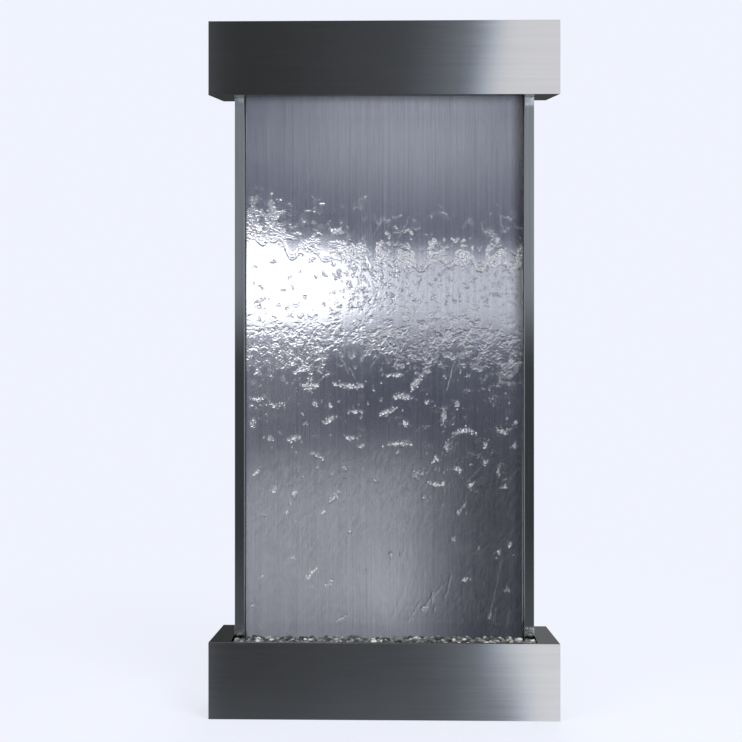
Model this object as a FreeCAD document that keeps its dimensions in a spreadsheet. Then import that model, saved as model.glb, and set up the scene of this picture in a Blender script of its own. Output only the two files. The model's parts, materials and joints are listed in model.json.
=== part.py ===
import FreeCAD, Part
import math
import os
import Sketcher
from FreeCAD import Vector, Rotation

# Water wall: a framed glass panel with a satin steel backing stands in a steel
# tray. A pump in the tray lifts water through a hose behind the panel to a
# drilled pipe under the hood, and the water runs down the glass onto pebbles.
# X is to the right of someone facing the panel, the front faces -Y, Z is up.
# The origin is at the bottom centre. All sizes are in millimetres.

os.makedirs("parts", exist_ok=True)
doc = FreeCAD.newDocument("water_wall")
sheet = doc.addObject("Spreadsheet::Sheet", "dims")

SIZES = [
    ("front_width", 889.0, "width of hood and tray at the front"),
    ("rear_width", 861.0, "width of hood and tray at the wall"),
    ("depth", 178.0, "front face to wall"),
    ("total_height", 1767.0, "tray base to hood top"),
    ("tray_height", 194.0, "tray base to rim"),
    ("hood_front_z", 1580.0, "lower edge of the hood at the front"),
    ("hood_rear_z", 1596.0, "lower edge of the hood at the wall"),
    ("gauge", 1.5, "sheet thickness of hood, tray, rails and beads"),
    ("opening_half", 389.0, "half width of the tray's opening"),
    ("hood_mouth_half", 380.0, "half width of the hood's opening in front of the rails"),
    ("hood_flange", 26.0, "front return under the hood"),
    ("tray_lip", 11.0, "front return of the tray rim"),
    ("tray_back_gap", 12.0, "recess of the tray's back wall from the wall"),
    ("rail_half", 388.0, "centre to outer face of a rail"),
    ("rail_face", 25.0, "width of the rail's front face"),
    ("rail_front", 98.0, "wall to the front of the rails"),
    ("rail_rear", 19.0, "wall to the back of the rails"),
    ("rail_foot_z", 8.0, "lower end of the rails"),
    ("rail_top_z", 1755.0, "upper end of the rails"),
    ("glass_front", 74.0, "wall to the wet face of the glass"),
    ("glass_thick", 6.0, "glass thickness"),
    ("backing_thick", 2.0, "backing plate thickness"),
    ("panel_half", 380.0, "half width of glass and backing"),
    ("panel_foot_z", 100.0, "lower edge of glass and backing"),
    ("panel_top_z", 1680.0, "upper edge of glass and backing"),
    ("seal", 3.0, "thickness of the edge seal"),
    ("film_thick", 2.6, "depth of the running water"),
    ("film_half", 361.0, "half width of the running water"),
    ("film_foot_z", 154.0, "lower end of the running water"),
    ("film_top_z", 1676.0, "upper end of the running water"),
    ("beam_front", 41.0, "wall to the front of the top beam"),
    ("beam_low_z", 1640.0, "lower face of the top beam"),
    ("beam_high_z", 1712.0, "upper face of the top beam"),
    ("beam_wall", 2.0, "wall of both beams"),
    ("beam_end", 4.0, "end plates of both beams"),
    ("sill_front", 76.5, "wall to the front of the bottom beam"),
    ("sill_rear", 65.0, "wall to the back of the bottom beam"),
    ("sill_low_z", 66.0, "lower face of the bottom beam"),
    ("sill_high_z", 90.0, "upper face of the bottom beam"),
    ("bracket_x", 203.2, "wall screw from the centre line"),
    ("bracket_half", 40.0, "half length of a wall bracket"),
    ("bracket_thick", 3.0, "wall bracket thickness"),
    ("bracket_high", 40.0, "height of the bracket's upright leg"),
    ("wall_screw_z", 1736.0, "height of the wall screws"),
    ("wall_screw_hole", 3.5, "radius of the wall screw holes"),
    ("pipe_y", 90.0, "wall to the axis of the distribution pipe"),
    ("pipe_z", 1700.0, "height of the distribution pipe"),
    ("pipe_radius", 12.5, "outer radius of the distribution pipe"),
    ("pipe_bore", 10.0, "bore radius of the distribution pipe"),
    ("pipe_half", 346.0, "half length of the distribution pipe"),
    ("jet_radius", 1.5, "radius of a water hole"),
    ("jet_pitch", 20.0, "spacing of the water holes"),
    ("riser_y", 53.0, "wall to the axis of the riser hose"),
    ("hose_radius", 8.0, "outer radius of the hose"),
    ("hose_bore", 6.2, "bore radius of the hose"),
    ("hose_low_z", 68.0, "lower end of the hose"),
    ("hose_high_z", 1688.0, "upper end of the hose"),
    ("bench_z", 150.0, "underside of the pebble bench"),
    ("bench_half", 390.0, "half length of the pebble bench"),
    ("pebble_top_z", 191.5, "level of the pebbles"),
    ("pump_y", 75.0, "wall to the pump axis"),
    ("pump_z", 34.0, "height of the pump axis"),
    ("lamp_x", 190.0, "lamp from the centre line"),
    ("lamp_y", 135.0, "wall to the lamp pivot"),
    ("lamp_z", 1650.0, "height of the lamp pivot"),
    ("lamp_radius", 22.0, "radius of the lamp housing"),
    ("lamp_bar_z", 1690.0, "underside of the lamp bar"),
]


class Size:
    """A length with the sheet formula that drives it."""

    def __init__(self, value, text):
        self.value = float(value)
        self.text = text

    def __add__(self, other):
        other = size(other)
        return Size(self.value + other.value, "(%s + %s)" % (self.text, other.text))

    def __sub__(self, other):
        other = size(other)
        return Size(self.value - other.value, "(%s - %s)" % (self.text, other.text))

    def __mul__(self, other):
        other = size(other)
        return Size(self.value * other.value, "(%s * %s)" % (self.text, other.text))

    def __truediv__(self, other):
        other = size(other)
        return Size(self.value / other.value, "(%s / %s)" % (self.text, other.text))

    def __radd__(self, other):
        return size(other) + self

    def __rsub__(self, other):
        return size(other) - self

    def __rmul__(self, other):
        return size(other) * self

    def __neg__(self):
        return size(0) - self


def size(number):
    if isinstance(number, Size):
        return number
    return Size(number, "(%s)" % repr(float(number)))


class Table:
    pass


d = Table()
for row, (word, number, note) in enumerate(SIZES, start=1):
    sheet.set("A%d" % row, word)
    sheet.set("B%d" % row, repr(number))
    sheet.set("C%d" % row, note)
    sheet.setAlias("B%d" % row, word)
    setattr(d, word, Size(number, "dims." + word))
doc.recompute()

TURN = {
    "+z": Rotation(),
    "-z": Rotation(Vector(1, 0, 0), 180),
    "+x": Rotation(Vector(0, 1, 0), 90),
    "-x": Rotation(Vector(0, 1, 0), -90),
    "+y": Rotation(Vector(1, 0, 0), -90),
    "-y": Rotation(Vector(1, 0, 0), 90),
}
nodes = []
counter = {}


def fresh(stem):
    counter[stem] = counter.get(stem, 0) + 1
    return "%s_%d" % (stem, counter[stem])


def wall(distance):
    """Y of a plane at a distance in front of the wall."""
    return d.depth / 2 - distance


def front(distance):
    """Y of a plane at a distance behind the front face."""
    return distance - d.depth / 2


def bind(obj, prop, length):
    obj.setExpression(prop, size(length).text)


def place(obj, x=0, y=0, z=0, facing="+z"):
    obj.Placement = FreeCAD.Placement(Vector(0, 0, 0), TURN[facing])
    bind(obj, "Placement.Base.x", x)
    bind(obj, "Placement.Base.y", y)
    bind(obj, "Placement.Base.z", z)
    return obj


def keep(obj, label):
    obj.Label = label
    nodes.append(obj)
    return obj


# ---- plain solids and their combinations ------------------------------------
def box(x0, x1, y0, y1, z0, z1):
    b = doc.addObject("Part::Box", fresh("block"))
    bind(b, "Length", size(x1) - x0)
    bind(b, "Width", size(y1) - y0)
    bind(b, "Height", size(z1) - z0)
    return place(b, x0, y0, z0)


def cylinder(radius, length, x=0, y=0, z=0, facing="+z"):
    c = doc.addObject("Part::Cylinder", fresh("round"))
    bind(c, "Radius", radius)
    bind(c, "Height", length)
    return place(c, x, y, z, facing)


def cone(radius_a, radius_b, length, x=0, y=0, z=0, facing="+z"):
    c = doc.addObject("Part::Cone", fresh("taper"))
    bind(c, "Radius1", radius_a)
    bind(c, "Radius2", radius_b)
    bind(c, "Height", length)
    return place(c, x, y, z, facing)


def ball(radius, x=0, y=0, z=0):
    s = doc.addObject("Part::Sphere", fresh("ball"))
    bind(s, "Radius", radius)
    return place(s, x, y, z)


def hexagon(radius, length, x=0, y=0, z=0, facing="+z"):
    h = doc.addObject("Part::Prism", fresh("hex"))
    h.Polygon = 6
    bind(h, "Circumradius", radius)
    bind(h, "Height", length)
    return place(h, x, y, z, facing)


def join(*shapes):
    if len(shapes) == 1:
        return shapes[0]
    f = doc.addObject("Part::MultiFuse", fresh("joined"))
    f.Shapes = list(shapes)
    f.Refine = True
    return f


def cut(base, *tools):
    c = doc.addObject("Part::Cut", fresh("cut"))
    c.Base = base
    c.Tool = join(*tools)
    return c


def group(label, *shapes):
    g = doc.addObject("Part::Compound", fresh("group"))
    g.Links = list(shapes)
    return keep(g, label)


def fillet(base, radius, pick):
    """Round the edges that pick() accepts."""
    doc.recompute()
    f = doc.addObject("Part::Fillet", fresh("rounded"))
    f.Base = base
    chosen = [i for i, e in enumerate(base.Shape.Edges, start=1) if pick(e)]
    f.Edges = [(i, float(radius), float(radius)) for i in chosen]
    return f


def screw(x, y, z, facing, head_radius, head, shank_radius, shank):
    """Pan head with a hexagon socket; the head stands on the given point and faces out."""
    body = join(
        cylinder(head_radius, head),
        cylinder(shank_radius, size(shank) + 0.5, z=-size(shank)),
    )
    s = cut(body, hexagon(size(head_radius) * 0.5, size(head), z=size(head) * 0.45))
    return place(s, x, y, z, facing)


# ---- sketched solids --------------------------------------------------------
def plane(body, role):
    return [f for f in body.Origin.OriginFeatures if f.Role == role][0]


def new_body():
    return doc.addObject("PartDesign::Body", fresh("body"))


def sketch_on(body, role, offset=0):
    sk = body.newObject("Sketcher::SketchObject", fresh("outline"))
    sk.AttachmentSupport = [(plane(body, role), "")]
    sk.MapMode = "FlatFace"
    bind(sk, "AttachmentOffset.Base.z", offset)
    return sk


def pin(sk, index, point, u, v):
    for kind, length in (("DistanceX", u), ("DistanceY", v)):
        length = size(length)
        c = sk.addConstraint(Sketcher.Constraint(kind, index, point, length.value))
        sk.setExpression("Constraints[%d]" % c, length.text)


def outline(sk, points):
    first = sk.GeometryCount
    count = len(points)
    places = [Vector(size(u).value, size(v).value, 0) for u, v in points]
    for i in range(count):
        sk.addGeometry(Part.LineSegment(places[i], places[(i + 1) % count]), False)
    for i in range(count):
        sk.addConstraint(Sketcher.Constraint("Coincident", first + i, 2, first + (i + 1) % count, 1))
    for i, (u, v) in enumerate(points):
        pin(sk, first + i, 1, u, v)


def circle(sk, u, v, radius):
    radius = size(radius)
    i = sk.addGeometry(
        Part.Circle(Vector(size(u).value, size(v).value, 0), Vector(0, 0, 1), radius.value), False
    )
    c = sk.addConstraint(Sketcher.Constraint("Radius", i, radius.value))
    sk.setExpression("Constraints[%d]" % c, radius.text)
    pin(sk, i, 3, u, v)


def rectangle(u0, u1, v0, v1):
    return [(u0, v0), (u1, v0), (u1, v1), (u0, v1)]


def pad(body, sk, length, both=False):
    p = body.newObject("PartDesign::Pad", fresh("pad"))
    p.Profile = sk
    bind(p, "Length", length)
    p.SideType = "Symmetric" if both else "One side"
    return p


def pocket(body, sk, length=None):
    p = body.newObject("PartDesign::Pocket", fresh("pocket"))
    p.Profile = sk
    if length is None:
        p.Type = "ThroughAll"
        p.SideType = "Symmetric"
    else:
        bind(p, "Length", length)
    return p


def upright(points, z0, z1):
    """Body with a plan outline, from one height to another."""
    body = new_body()
    sk = sketch_on(body, "XY_Plane", z0)
    outline(sk, points)
    pad(body, sk, size(z1) - z0)
    return body


def lengthways(points, length):
    """Body with an outline seen from the side, centred on the middle of the object."""
    body = new_body()
    sk = sketch_on(body, "YZ_Plane")
    outline(sk, points)
    pad(body, sk, length, both=True)
    return body


def drill(body, role, holes):
    sk = sketch_on(body, role)
    for u, v, radius in holes:
        circle(sk, u, v, radius)
    return pocket(body, sk)


def row_of(body, feature, axis, length, count, axis2=None, length2=None, count2=None):
    doc.recompute()
    p = body.newObject("PartDesign::LinearPattern", fresh("row"))
    p.Originals = [feature]
    p.Direction = (plane(body, axis), [""])
    bind(p, "Length", length)
    p.Occurrences = count
    if axis2:
        p.Direction2 = (plane(body, axis2), [""])
        bind(p, "Length2", length2)
        p.Occurrences2 = count2
    body.Tip = p
    return p


HALF_FRONT = d.front_width / 2
HALF_REAR = d.rear_width / 2
FRONT = -d.depth / 2
REAR = d.depth / 2


def half_width(behind_front):
    """Half width of hood and tray at a distance behind the front face."""
    return HALF_FRONT - (HALF_FRONT - HALF_REAR) * (size(behind_front) / d.depth)


# ---- hood: folded shell, open at the back and underneath ----------------------
hood = lengthways(
    [(FRONT, d.hood_front_z), (REAR, d.hood_rear_z), (REAR, d.total_height), (FRONT, d.total_height)],
    d.front_width,
)
sk = sketch_on(hood, "XY_Plane")
outline(sk, [(HALF_FRONT, FRONT), (HALF_FRONT + 20, FRONT), (HALF_FRONT + 20, REAR), (HALF_REAR, REAR)])
outline(sk, [(-HALF_FRONT, FRONT), (-HALF_FRONT - 20, FRONT), (-HALF_FRONT - 20, REAR), (-HALF_REAR, REAR)])
sides = pocket(hood, sk)
doc.recompute()
shell = hood.newObject("PartDesign::Thickness", "hood_gauge")
shell.Base = (
    sides,
    ["Face%d" % i for i, f in enumerate(sides.Shape.Faces, start=1) if f.CenterOfMass.y > REAR.value - 0.01],
)
bind(shell, "Value", d.gauge)
shell.Reversed = 1
shell.Join = "Intersection"
hood.Tip = shell
doc.recompute()
sk = sketch_on(hood, "XY_Plane", d.hood_rear_z + 40)
# the opening is narrow in front of the rails, close along their sides, and wider
# where the hood has to pass the screw heads
mouth, beside, past = d.hood_mouth_half, d.rail_half + 0.8, d.rail_half + 4
y_low, y_mid, y_high = front(d.hood_flange), wall(d.rail_front + 3), wall(d.rail_front - 20)
outline(
    sk,
    [
        (-mouth, y_low),
        (mouth, y_low),
        (mouth, y_mid),
        (beside, y_mid),
        (beside, y_high),
        (past, y_high),
        (past, REAR + 5),
        (-past, REAR + 5),
        (-past, y_high),
        (-beside, y_high),
        (-beside, y_mid),
        (-mouth, y_mid),
    ],
)
pocket(hood, sk, 100)
keep(hood, "hood_shell")

# tabs inside the hood that straddle the tops of the rails
tabs = []
for side in (-1, 1):
    for y0, y1 in ((d.rail_front + 0.6, d.rail_front + 2.1), (d.rail_rear - 2.1, d.rail_rear - 0.6)):
        a = side * (d.rail_half - 21)
        b = side * (d.rail_half - 3)
        lo, hi = (a, b) if side > 0 else (b, a)
        tabs.append(box(lo, hi, wall(y1) if y1.value > y0.value else wall(y0), wall(y0) if y1.value > y0.value else wall(y1),
                        d.total_height - d.gauge - 30, d.total_height - d.gauge))
group("hood_locating_tabs", *tabs)

# angle bar that carries the lamps, hung from the hood's top on two straps
bar_y0 = wall(d.lamp_y + 15)
bar_y1 = wall(d.lamp_y - 15)
lamp_bar = lengthways(
    [
        (bar_y0, d.lamp_bar_z),
        (bar_y1, d.lamp_bar_z),
        (bar_y1, d.lamp_bar_z + 2),
        (bar_y0 + 2, d.lamp_bar_z + 2),
        (bar_y0 + 2, d.lamp_bar_z + 20),
        (bar_y0, d.lamp_bar_z + 20),
    ],
    840,
)
drill(lamp_bar, "XY_Plane", [(s * d.lamp_x, wall(d.lamp_y), 2.1) for s in (-1, 1)])
drill(lamp_bar, "XZ_Plane", [(s * 300 + o, d.lamp_bar_z + 13, 2.1) for s in (-1, 1) for o in (-8, 8)])
keep(lamp_bar, "lamp_bar")
straps = []
strap_screws = []
for s in (-1, 1):
    lo = size(s * 300 - 15)
    hi = size(s * 300 + 15)
    top = d.total_height - d.gauge
    strap = cut(
        join(
            box(lo, hi, bar_y0 + 2, bar_y0 + 4, d.lamp_bar_z + 4, top),
            box(lo, hi, bar_y0 + 2, bar_y0 + 24, top - 2, top),
        ),
        cylinder(2.1, 6, s * 300 - 8, bar_y0, d.lamp_bar_z + 13, "+y"),
        cylinder(2.1, 6, s * 300 + 8, bar_y0, d.lamp_bar_z + 13, "+y"),
    )
    straps.append(strap)
    for o in (-8, 8):
        strap_screws.append(screw(s * 300 + o, bar_y0, d.lamp_bar_z + 13, "-y", 3.6, 2.4, 2.0, 7))
group("lamp_bar_straps", *straps)

yokes = []
yoke_screws = []
for s in (-1, 1):
    x = s * d.lamp_x
    y = wall(d.lamp_y)
    arm = d.lamp_radius + 3
    base = join(
        box(x - arm - 2, x + arm + 2, y - 9, y + 9, d.lamp_bar_z - 2, d.lamp_bar_z),
        box(x - arm - 2, x - arm, y - 9, y + 9, d.lamp_z, d.lamp_bar_z),
        box(x + arm, x + arm + 2, y - 9, y + 9, d.lamp_z, d.lamp_bar_z),
        cylinder(9, 2, x - arm - 2, y, d.lamp_z, "+x"),
        cylinder(9, 2, x + arm, y, d.lamp_z, "+x"),
    )
    yokes.append(
        cut(
            base,
            cylinder(3.06, arm * 2 + 8, x - arm - 4, y, d.lamp_z, "+x"),
            cylinder(2.1, 8, x, y, d.lamp_bar_z - 4),
        )
    )
    yoke_screws.append(screw(x, y, d.lamp_bar_z + 2, "+z", 3.6, 2.4, 2.0, 7))
group("lamp_yokes", *yokes)
group("lamp_screws", *(strap_screws + yoke_screws))

# lamps: finned housing with trunnion pins, bezel ring and domed glass
for s, side in ((-1, "left"), (1, "right")):
    x = s * d.lamp_x
    y = wall(d.lamp_y)
    housing = join(
        cylinder(d.lamp_radius, 26, x, y, d.lamp_z - 20),
        cylinder(d.lamp_radius - 7, 22, x, y, d.lamp_z),
        cylinder(d.lamp_radius - 2, 2.5, x, y, d.lamp_z + 9),
        cylinder(d.lamp_radius - 2, 2.5, x, y, d.lamp_z + 14),
        cylinder(d.lamp_radius - 2, 2.5, x, y, d.lamp_z + 19),
        cylinder(3, 10.5, x - d.lamp_radius - 8, y, d.lamp_z, "+x"),
        cylinder(3, 10.5, x + d.lamp_radius - 2.5, y, d.lamp_z, "+x"),
        cylinder(5, 3, x - d.lamp_radius - 2.6, y, d.lamp_z, "+x"),
        cylinder(5, 3, x + d.lamp_radius - 0.4, y, d.lamp_z, "+x"),
    )
    keep(
        cut(
            housing,
            cone(d.lamp_radius - 3, d.lamp_radius - 12, 20, x, y, d.lamp_z - 20.001),
        ),
        "lamp_%s_housing" % side,
    )
    bezel = cut(
        cylinder(d.lamp_radius + 1.5, 8, x, y, d.lamp_z - 26),
        cylinder(d.lamp_radius - 5, 10, x, y, d.lamp_z - 27),
        cylinder(d.lamp_radius - 2.5, 4.001, x, y, d.lamp_z - 24.001),
        cylinder(d.lamp_radius, 3, x, y, d.lamp_z - 20),
    )
    keep(bezel, "lamp_%s_bezel" % side)
    keep(
        cylinder(d.lamp_radius - 2.6, 3.8, x, y, d.lamp_z - 23.9),
        "lamp_%s_lens" % side,
    )

# ---- tray: welded from flat sheets, with the back set in from the wall ---------
inner_rear = d.tray_back_gap + d.gauge
skin = d.gauge * 1.0031
corner = half_width(d.gauge)
front_in = corner - skin
rear_in = half_width(d.depth - inner_rear) - skin
gap_in = half_width(d.depth - d.tray_back_gap) - skin
edge_in = HALF_REAR - skin
# front sheet, the full width of the face
keep(
    upright(
        [(-HALF_FRONT, FRONT), (HALF_FRONT, FRONT), (corner, front(d.gauge)), (-corner, front(d.gauge))],
        0,
        d.tray_height,
    ),
    "tray_front",
)
# ends, drawn in towards the wall
for s, side in ((-1, "left"), (1, "right")):
    keep(
        upright(
            [
                (s * corner, front(d.gauge)),
                (s * HALF_REAR, REAR),
                (s * edge_in, REAR),
                (s * front_in, front(d.gauge)),
            ],
            0,
            d.tray_height,
        ),
        "tray_end_%s" % side,
    )
between_ends = [(-front_in, front(d.gauge)), (front_in, front(d.gauge)), (edge_in, REAR), (-edge_in, REAR)]
keep(upright(between_ends, 0, d.gauge), "tray_floor")
# back, with the hole for the lead
tray_back = upright(
    [
        (-rear_in, wall(inner_rear)),
        (rear_in, wall(inner_rear)),
        (gap_in, wall(d.tray_back_gap)),
        (-gap_in, wall(d.tray_back_gap)),
    ],
    d.gauge,
    d.tray_height - d.gauge,
)
sk = sketch_on(tray_back, "XZ_Plane", -wall(inner_rear + 6))
circle(sk, 330, 160, 9)
pocket(tray_back, sk, 10)
keep(tray_back, "tray_back")
# rim plate: two end ledges, the narrow front lip and a strip at the back
rim = upright(between_ends, d.tray_height - d.gauge, d.tray_height)
sk = sketch_on(rim, "XY_Plane", d.tray_height)
outline(sk, rectangle(-d.opening_half, d.opening_half, front(d.tray_lip), wall(d.rail_rear - 2)))
pocket(rim, sk, d.gauge * 2)
keep(rim, "tray_rim")
keep(
    cut(
        join(
            cylinder(8.9, 6.5, 330, wall(d.tray_back_gap + 4), 160, "+y"),
            cylinder(12, 2.4, 330, wall(d.tray_back_gap + d.gauge + 2.4), 160, "+y"),
            cylinder(12, 2.4, 330, wall(d.tray_back_gap), 160, "+y"),
        ),
        cylinder(4.5, 20, 330, wall(d.tray_back_gap + 10), 160, "+y"),
    ),
    "lead_grommet",
)

# ---- side rails: folded channels that hold the panel edges ---------------------
screw_rows = [d.beam_low_z + 18, d.beam_high_z - 18]
bead_rows = [180, 470, 760, 1050, 1340, 1610]
for s, side in ((-1, "left"), (1, "right")):
    out = d.rail_half
    inn = d.rail_half - d.rail_face
    g = d.gauge
    lip_end = wall(d.glass_front + d.seal)
    pts = [
        (s * inn, lip_end),
        (s * inn, wall(d.rail_front)),
        (s * out, wall(d.rail_front)),
        (s * out, wall(d.rail_rear)),
        (s * inn, wall(d.rail_rear)),
        (s * inn, wall(d.rail_rear + g)),
        (s * (out - g), wall(d.rail_rear + g)),
        (s * (out - g), wall(d.rail_front - g)),
        (s * (inn + g), wall(d.rail_front - g)),
        (s * (inn + g), lip_end),
    ]
    rail = upright(pts, d.rail_foot_z, d.rail_top_z)
    drill(
        rail,
        "YZ_Plane",
        [(wall(30), z, 2.6) for z in screw_rows]
        + [(wall(72), 78, 2.6)]
        + [(wall(54), z, 1.8) for z in bead_rows],
    )
    keep(rail, "side_rail_%s" % side)

    back = d.glass_front - d.glass_thick - d.backing_thick
    web = d.rail_half - d.gauge
    bead = upright(
        [
            (s * (inn + 1), wall(back - d.seal)),
            (s * web, wall(back - d.seal)),
            (s * web, wall(back - d.seal - 18)),
            (s * (web - g), wall(back - d.seal - 18)),
            (s * (web - g), wall(back - d.seal - g)),
            (s * (inn + 1), wall(back - d.seal - g)),
        ],
        d.panel_foot_z,
        d.beam_low_z - 4,
    )
    drill(bead, "YZ_Plane", [(wall(54), z, 1.8) for z in bead_rows])
    keep(bead, "glazing_bead_%s" % side)

    seal = upright(
        [
            (s * inn, wall(d.glass_front + d.seal)),
            (s * (d.panel_half + 3), wall(d.glass_front + d.seal)),
            (s * (d.panel_half + 3), wall(back - d.seal)),
            (s * (inn + 3), wall(back - d.seal)),
            (s * (inn + 3), wall(back)),
            (s * d.panel_half, wall(back)),
            (s * d.panel_half, wall(d.glass_front)),
            (s * inn, wall(d.glass_front)),
        ],
        d.panel_foot_z,
        d.panel_top_z,
    )
    keep(seal, "glazing_seal_%s" % side)

group(
    "glazing_bead_screws",
    *[
        screw(s * (d.rail_half - d.gauge * 2), wall(54), z, "-x" if s > 0 else "+x", 3.2, 2.0, 1.7, 3.0)
        for s in (-1, 1)
        for z in bead_rows
    ],
)

# plastic shoes under the rails and rubber-topped caps that carry the hood
shoes = []
caps = []
for s in (-1, 1):
    lo = s * (d.rail_half + 1.5) if s < 0 else d.rail_half - d.rail_face - 1.5
    hi = s * (d.rail_half - d.rail_face - 1.5) if s < 0 else d.rail_half + 1.5
    shoes.append(
        cut(
            box(lo, hi, wall(d.rail_front + 1.5), wall(d.rail_rear - 1.5), d.gauge, 24),
            box(lo + 1.2, hi - 1.2, wall(d.rail_front + 0.3), wall(d.rail_rear - 0.3), d.rail_foot_z, 30),
        )
    )
    a = s * (d.rail_half - d.gauge - 0.4) if s < 0 else d.rail_half - d.rail_face + 2
    b = s * (d.rail_half - d.rail_face + 2) if s < 0 else d.rail_half - d.gauge - 0.4
    lo2 = s * d.rail_half if s < 0 else d.rail_half - d.rail_face
    hi2 = s * (d.rail_half - d.rail_face) if s < 0 else d.rail_half
    caps.append(
        join(
            box(lo2, hi2, wall(d.rail_front), wall(d.rail_rear), d.rail_top_z, d.total_height - d.gauge),
            box(a, b, wall(d.rail_front - 30), wall(d.rail_rear + 4), d.rail_top_z - 12, d.rail_top_z + 1),
        )
    )
group("rail_shoes", *shoes)
group("rail_caps", *caps)

# ---- top beam and bottom sill between the rails ---------------------------------
inside = d.rail_half - d.gauge
t = d.beam_wall
beam = lengthways(
    [
        (wall(d.beam_front), d.beam_low_z),
        (wall(d.rail_rear + d.gauge), d.beam_low_z),
        (wall(d.rail_rear + d.gauge), d.beam_high_z),
        (wall(d.beam_front), d.beam_high_z),
        (wall(d.beam_front), d.beam_high_z - t),
        (wall(d.rail_rear + d.gauge + t), d.beam_high_z - t),
        (wall(d.rail_rear + d.gauge + t), d.beam_low_z + t),
        (wall(d.beam_front), d.beam_low_z + t),
    ],
    inside * 2,
)
for s in (-1, 1):
    sk = sketch_on(beam, "YZ_Plane", inside - d.beam_end if s > 0 else -inside)
    outline(sk, rectangle(wall(d.beam_front), wall(d.rail_rear + d.gauge), d.beam_low_z, d.beam_high_z))
    pad(beam, sk, d.beam_end)
drill(beam, "YZ_Plane", [(wall(30), z, 2.55) for z in screw_rows])
drill(
    beam,
    "XY_Plane",
    [(s * d.bracket_x + o, wall(31), 3.1) for s in (-1, 1) for o in (-24, 24)]
    + [(x, wall(32), 2.1) for x in (-320, -110, 110, 320)],
)
keep(beam, "top_beam")

sill = lengthways(
    [
        (wall(d.sill_front), d.sill_low_z),
        (wall(d.sill_front - t), d.sill_low_z),
        (wall(d.sill_front - t), d.sill_high_z - t),
        (wall(d.sill_rear + t), d.sill_high_z - t),
        (wall(d.sill_rear + t), d.sill_low_z),
        (wall(d.sill_rear), d.sill_low_z),
        (wall(d.sill_rear), d.sill_high_z),
        (wall(d.sill_front), d.sill_high_z),
    ],
    inside * 2,
)
for s in (-1, 1):
    sk = sketch_on(sill, "YZ_Plane", inside - d.beam_end if s > 0 else -inside)
    outline(sk, rectangle(wall(d.sill_front), wall(d.sill_rear), d.sill_low_z, d.sill_high_z))
    pad(sill, sk, d.beam_end)
drill(sill, "YZ_Plane", [(wall(72), 78, 2.55)])
keep(sill, "bottom_sill")

group(
    "frame_screws",
    *(
        [
            screw(s * d.rail_half, wall(30), z, "+x" if s > 0 else "-x", 4.6, 2.8, 2.5, 9)
            for s in (-1, 1)
            for z in screw_rows
        ]
        + [
            screw(s * d.rail_half, wall(72), 78, "+x" if s > 0 else "-x", 4.6, 2.8, 2.5, 9)
            for s in (-1, 1)
        ]
    ),
)
group(
    "setting_blocks",
    *[
        box(s * 240 - 40, s * 240 + 40, wall(d.glass_front + 1), wall(d.glass_front - 9), d.sill_high_z, d.panel_foot_z)
        for s in (-1, 1)
    ],
)

# ---- panel: glass sheet, satin backing plate and the water running down --------
back = d.glass_front - d.glass_thick
keep(
    upright(
        rectangle(-d.panel_half, d.panel_half, wall(d.glass_front), wall(back)),
        d.panel_foot_z,
        d.panel_top_z,
    ),
    "glass_panel",
)
keep(
    upright(
        rectangle(-d.panel_half, d.panel_half, wall(back), wall(back - d.backing_thick)),
        d.panel_foot_z,
        d.panel_top_z,
    ),
    "backing_plate",
)
keep(
    upright(
        rectangle(-d.film_half, d.film_half, wall(d.glass_front + d.film_thick), wall(d.glass_front)),
        d.film_foot_z,
        d.film_top_z,
    ),
    "water_film",
)

# ---- wall brackets on the top beam ------------------------------------------------
brackets = []
bracket_bolts = []
for s in (-1, 1):
    x = s * d.bracket_x
    k = d.bracket_thick
    brackets.append(
        cut(
            join(
                box(x - d.bracket_half, x + d.bracket_half, wall(d.beam_front), REAR, d.beam_high_z, d.beam_high_z + k),
                box(x - d.bracket_half, x + d.bracket_half, wall(k), REAR, d.beam_high_z, d.beam_high_z + d.bracket_high),
                box(x - 2, x + 2, wall(14), REAR, d.beam_high_z, d.beam_high_z + 12),
            ),
            cylinder(d.wall_screw_hole, 12, x, wall(10), d.wall_screw_z, "+y"),
            cylinder(3.1, 8, x - 24, wall(31), d.beam_high_z - 2),
            cylinder(3.1, 8, x + 24, wall(31), d.beam_high_z - 2),
        )
    )
    for o in (-24, 24):
        bracket_bolts.append(screw(x + o, wall(31), d.beam_high_z + k, "+z", 5, 3.5, 3.0, 12))
group("wall_brackets", *brackets)
group("wall_bracket_bolts", *bracket_bolts)

# ---- water pipes --------------------------------------------------------------------
pipe_y = wall(d.pipe_y)
riser_y = wall(d.riser_y)
for s, side in ((-1, "left"), (1, "right")):
    pipe = new_body()
    sk = sketch_on(pipe, "YZ_Plane", s * d.pipe_half if s < 0 else 5)
    circle(sk, pipe_y, d.pipe_z, d.pipe_radius)
    circle(sk, pipe_y, d.pipe_z, d.pipe_bore)
    pad(pipe, sk, d.pipe_half - 5)
    # one water hole in the side towards the glass, then the row
    sk = sketch_on(pipe, "XZ_Plane", -pipe_y)
    circle(sk, s * 30, d.pipe_z, d.jet_radius)
    jet = pocket(pipe, sk, d.pipe_radius + 1)
    row = row_of(pipe, jet, "X_Axis", d.jet_pitch * 14, 15)
    row.Reversed = s < 0
    keep(pipe, "distribution_pipe_%s" % side)
group(
    "pipe_end_caps",
    *[
        cut(
            cylinder(d.pipe_radius + 2, 17, s * (d.pipe_half - 14), pipe_y, d.pipe_z, "+x" if s > 0 else "-x"),
            cylinder(d.pipe_radius + 0.1, 14, s * (d.pipe_half - 14), pipe_y, d.pipe_z, "+x" if s > 0 else "-x"),
        )
        for s in (-1, 1)
    ],
)
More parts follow.
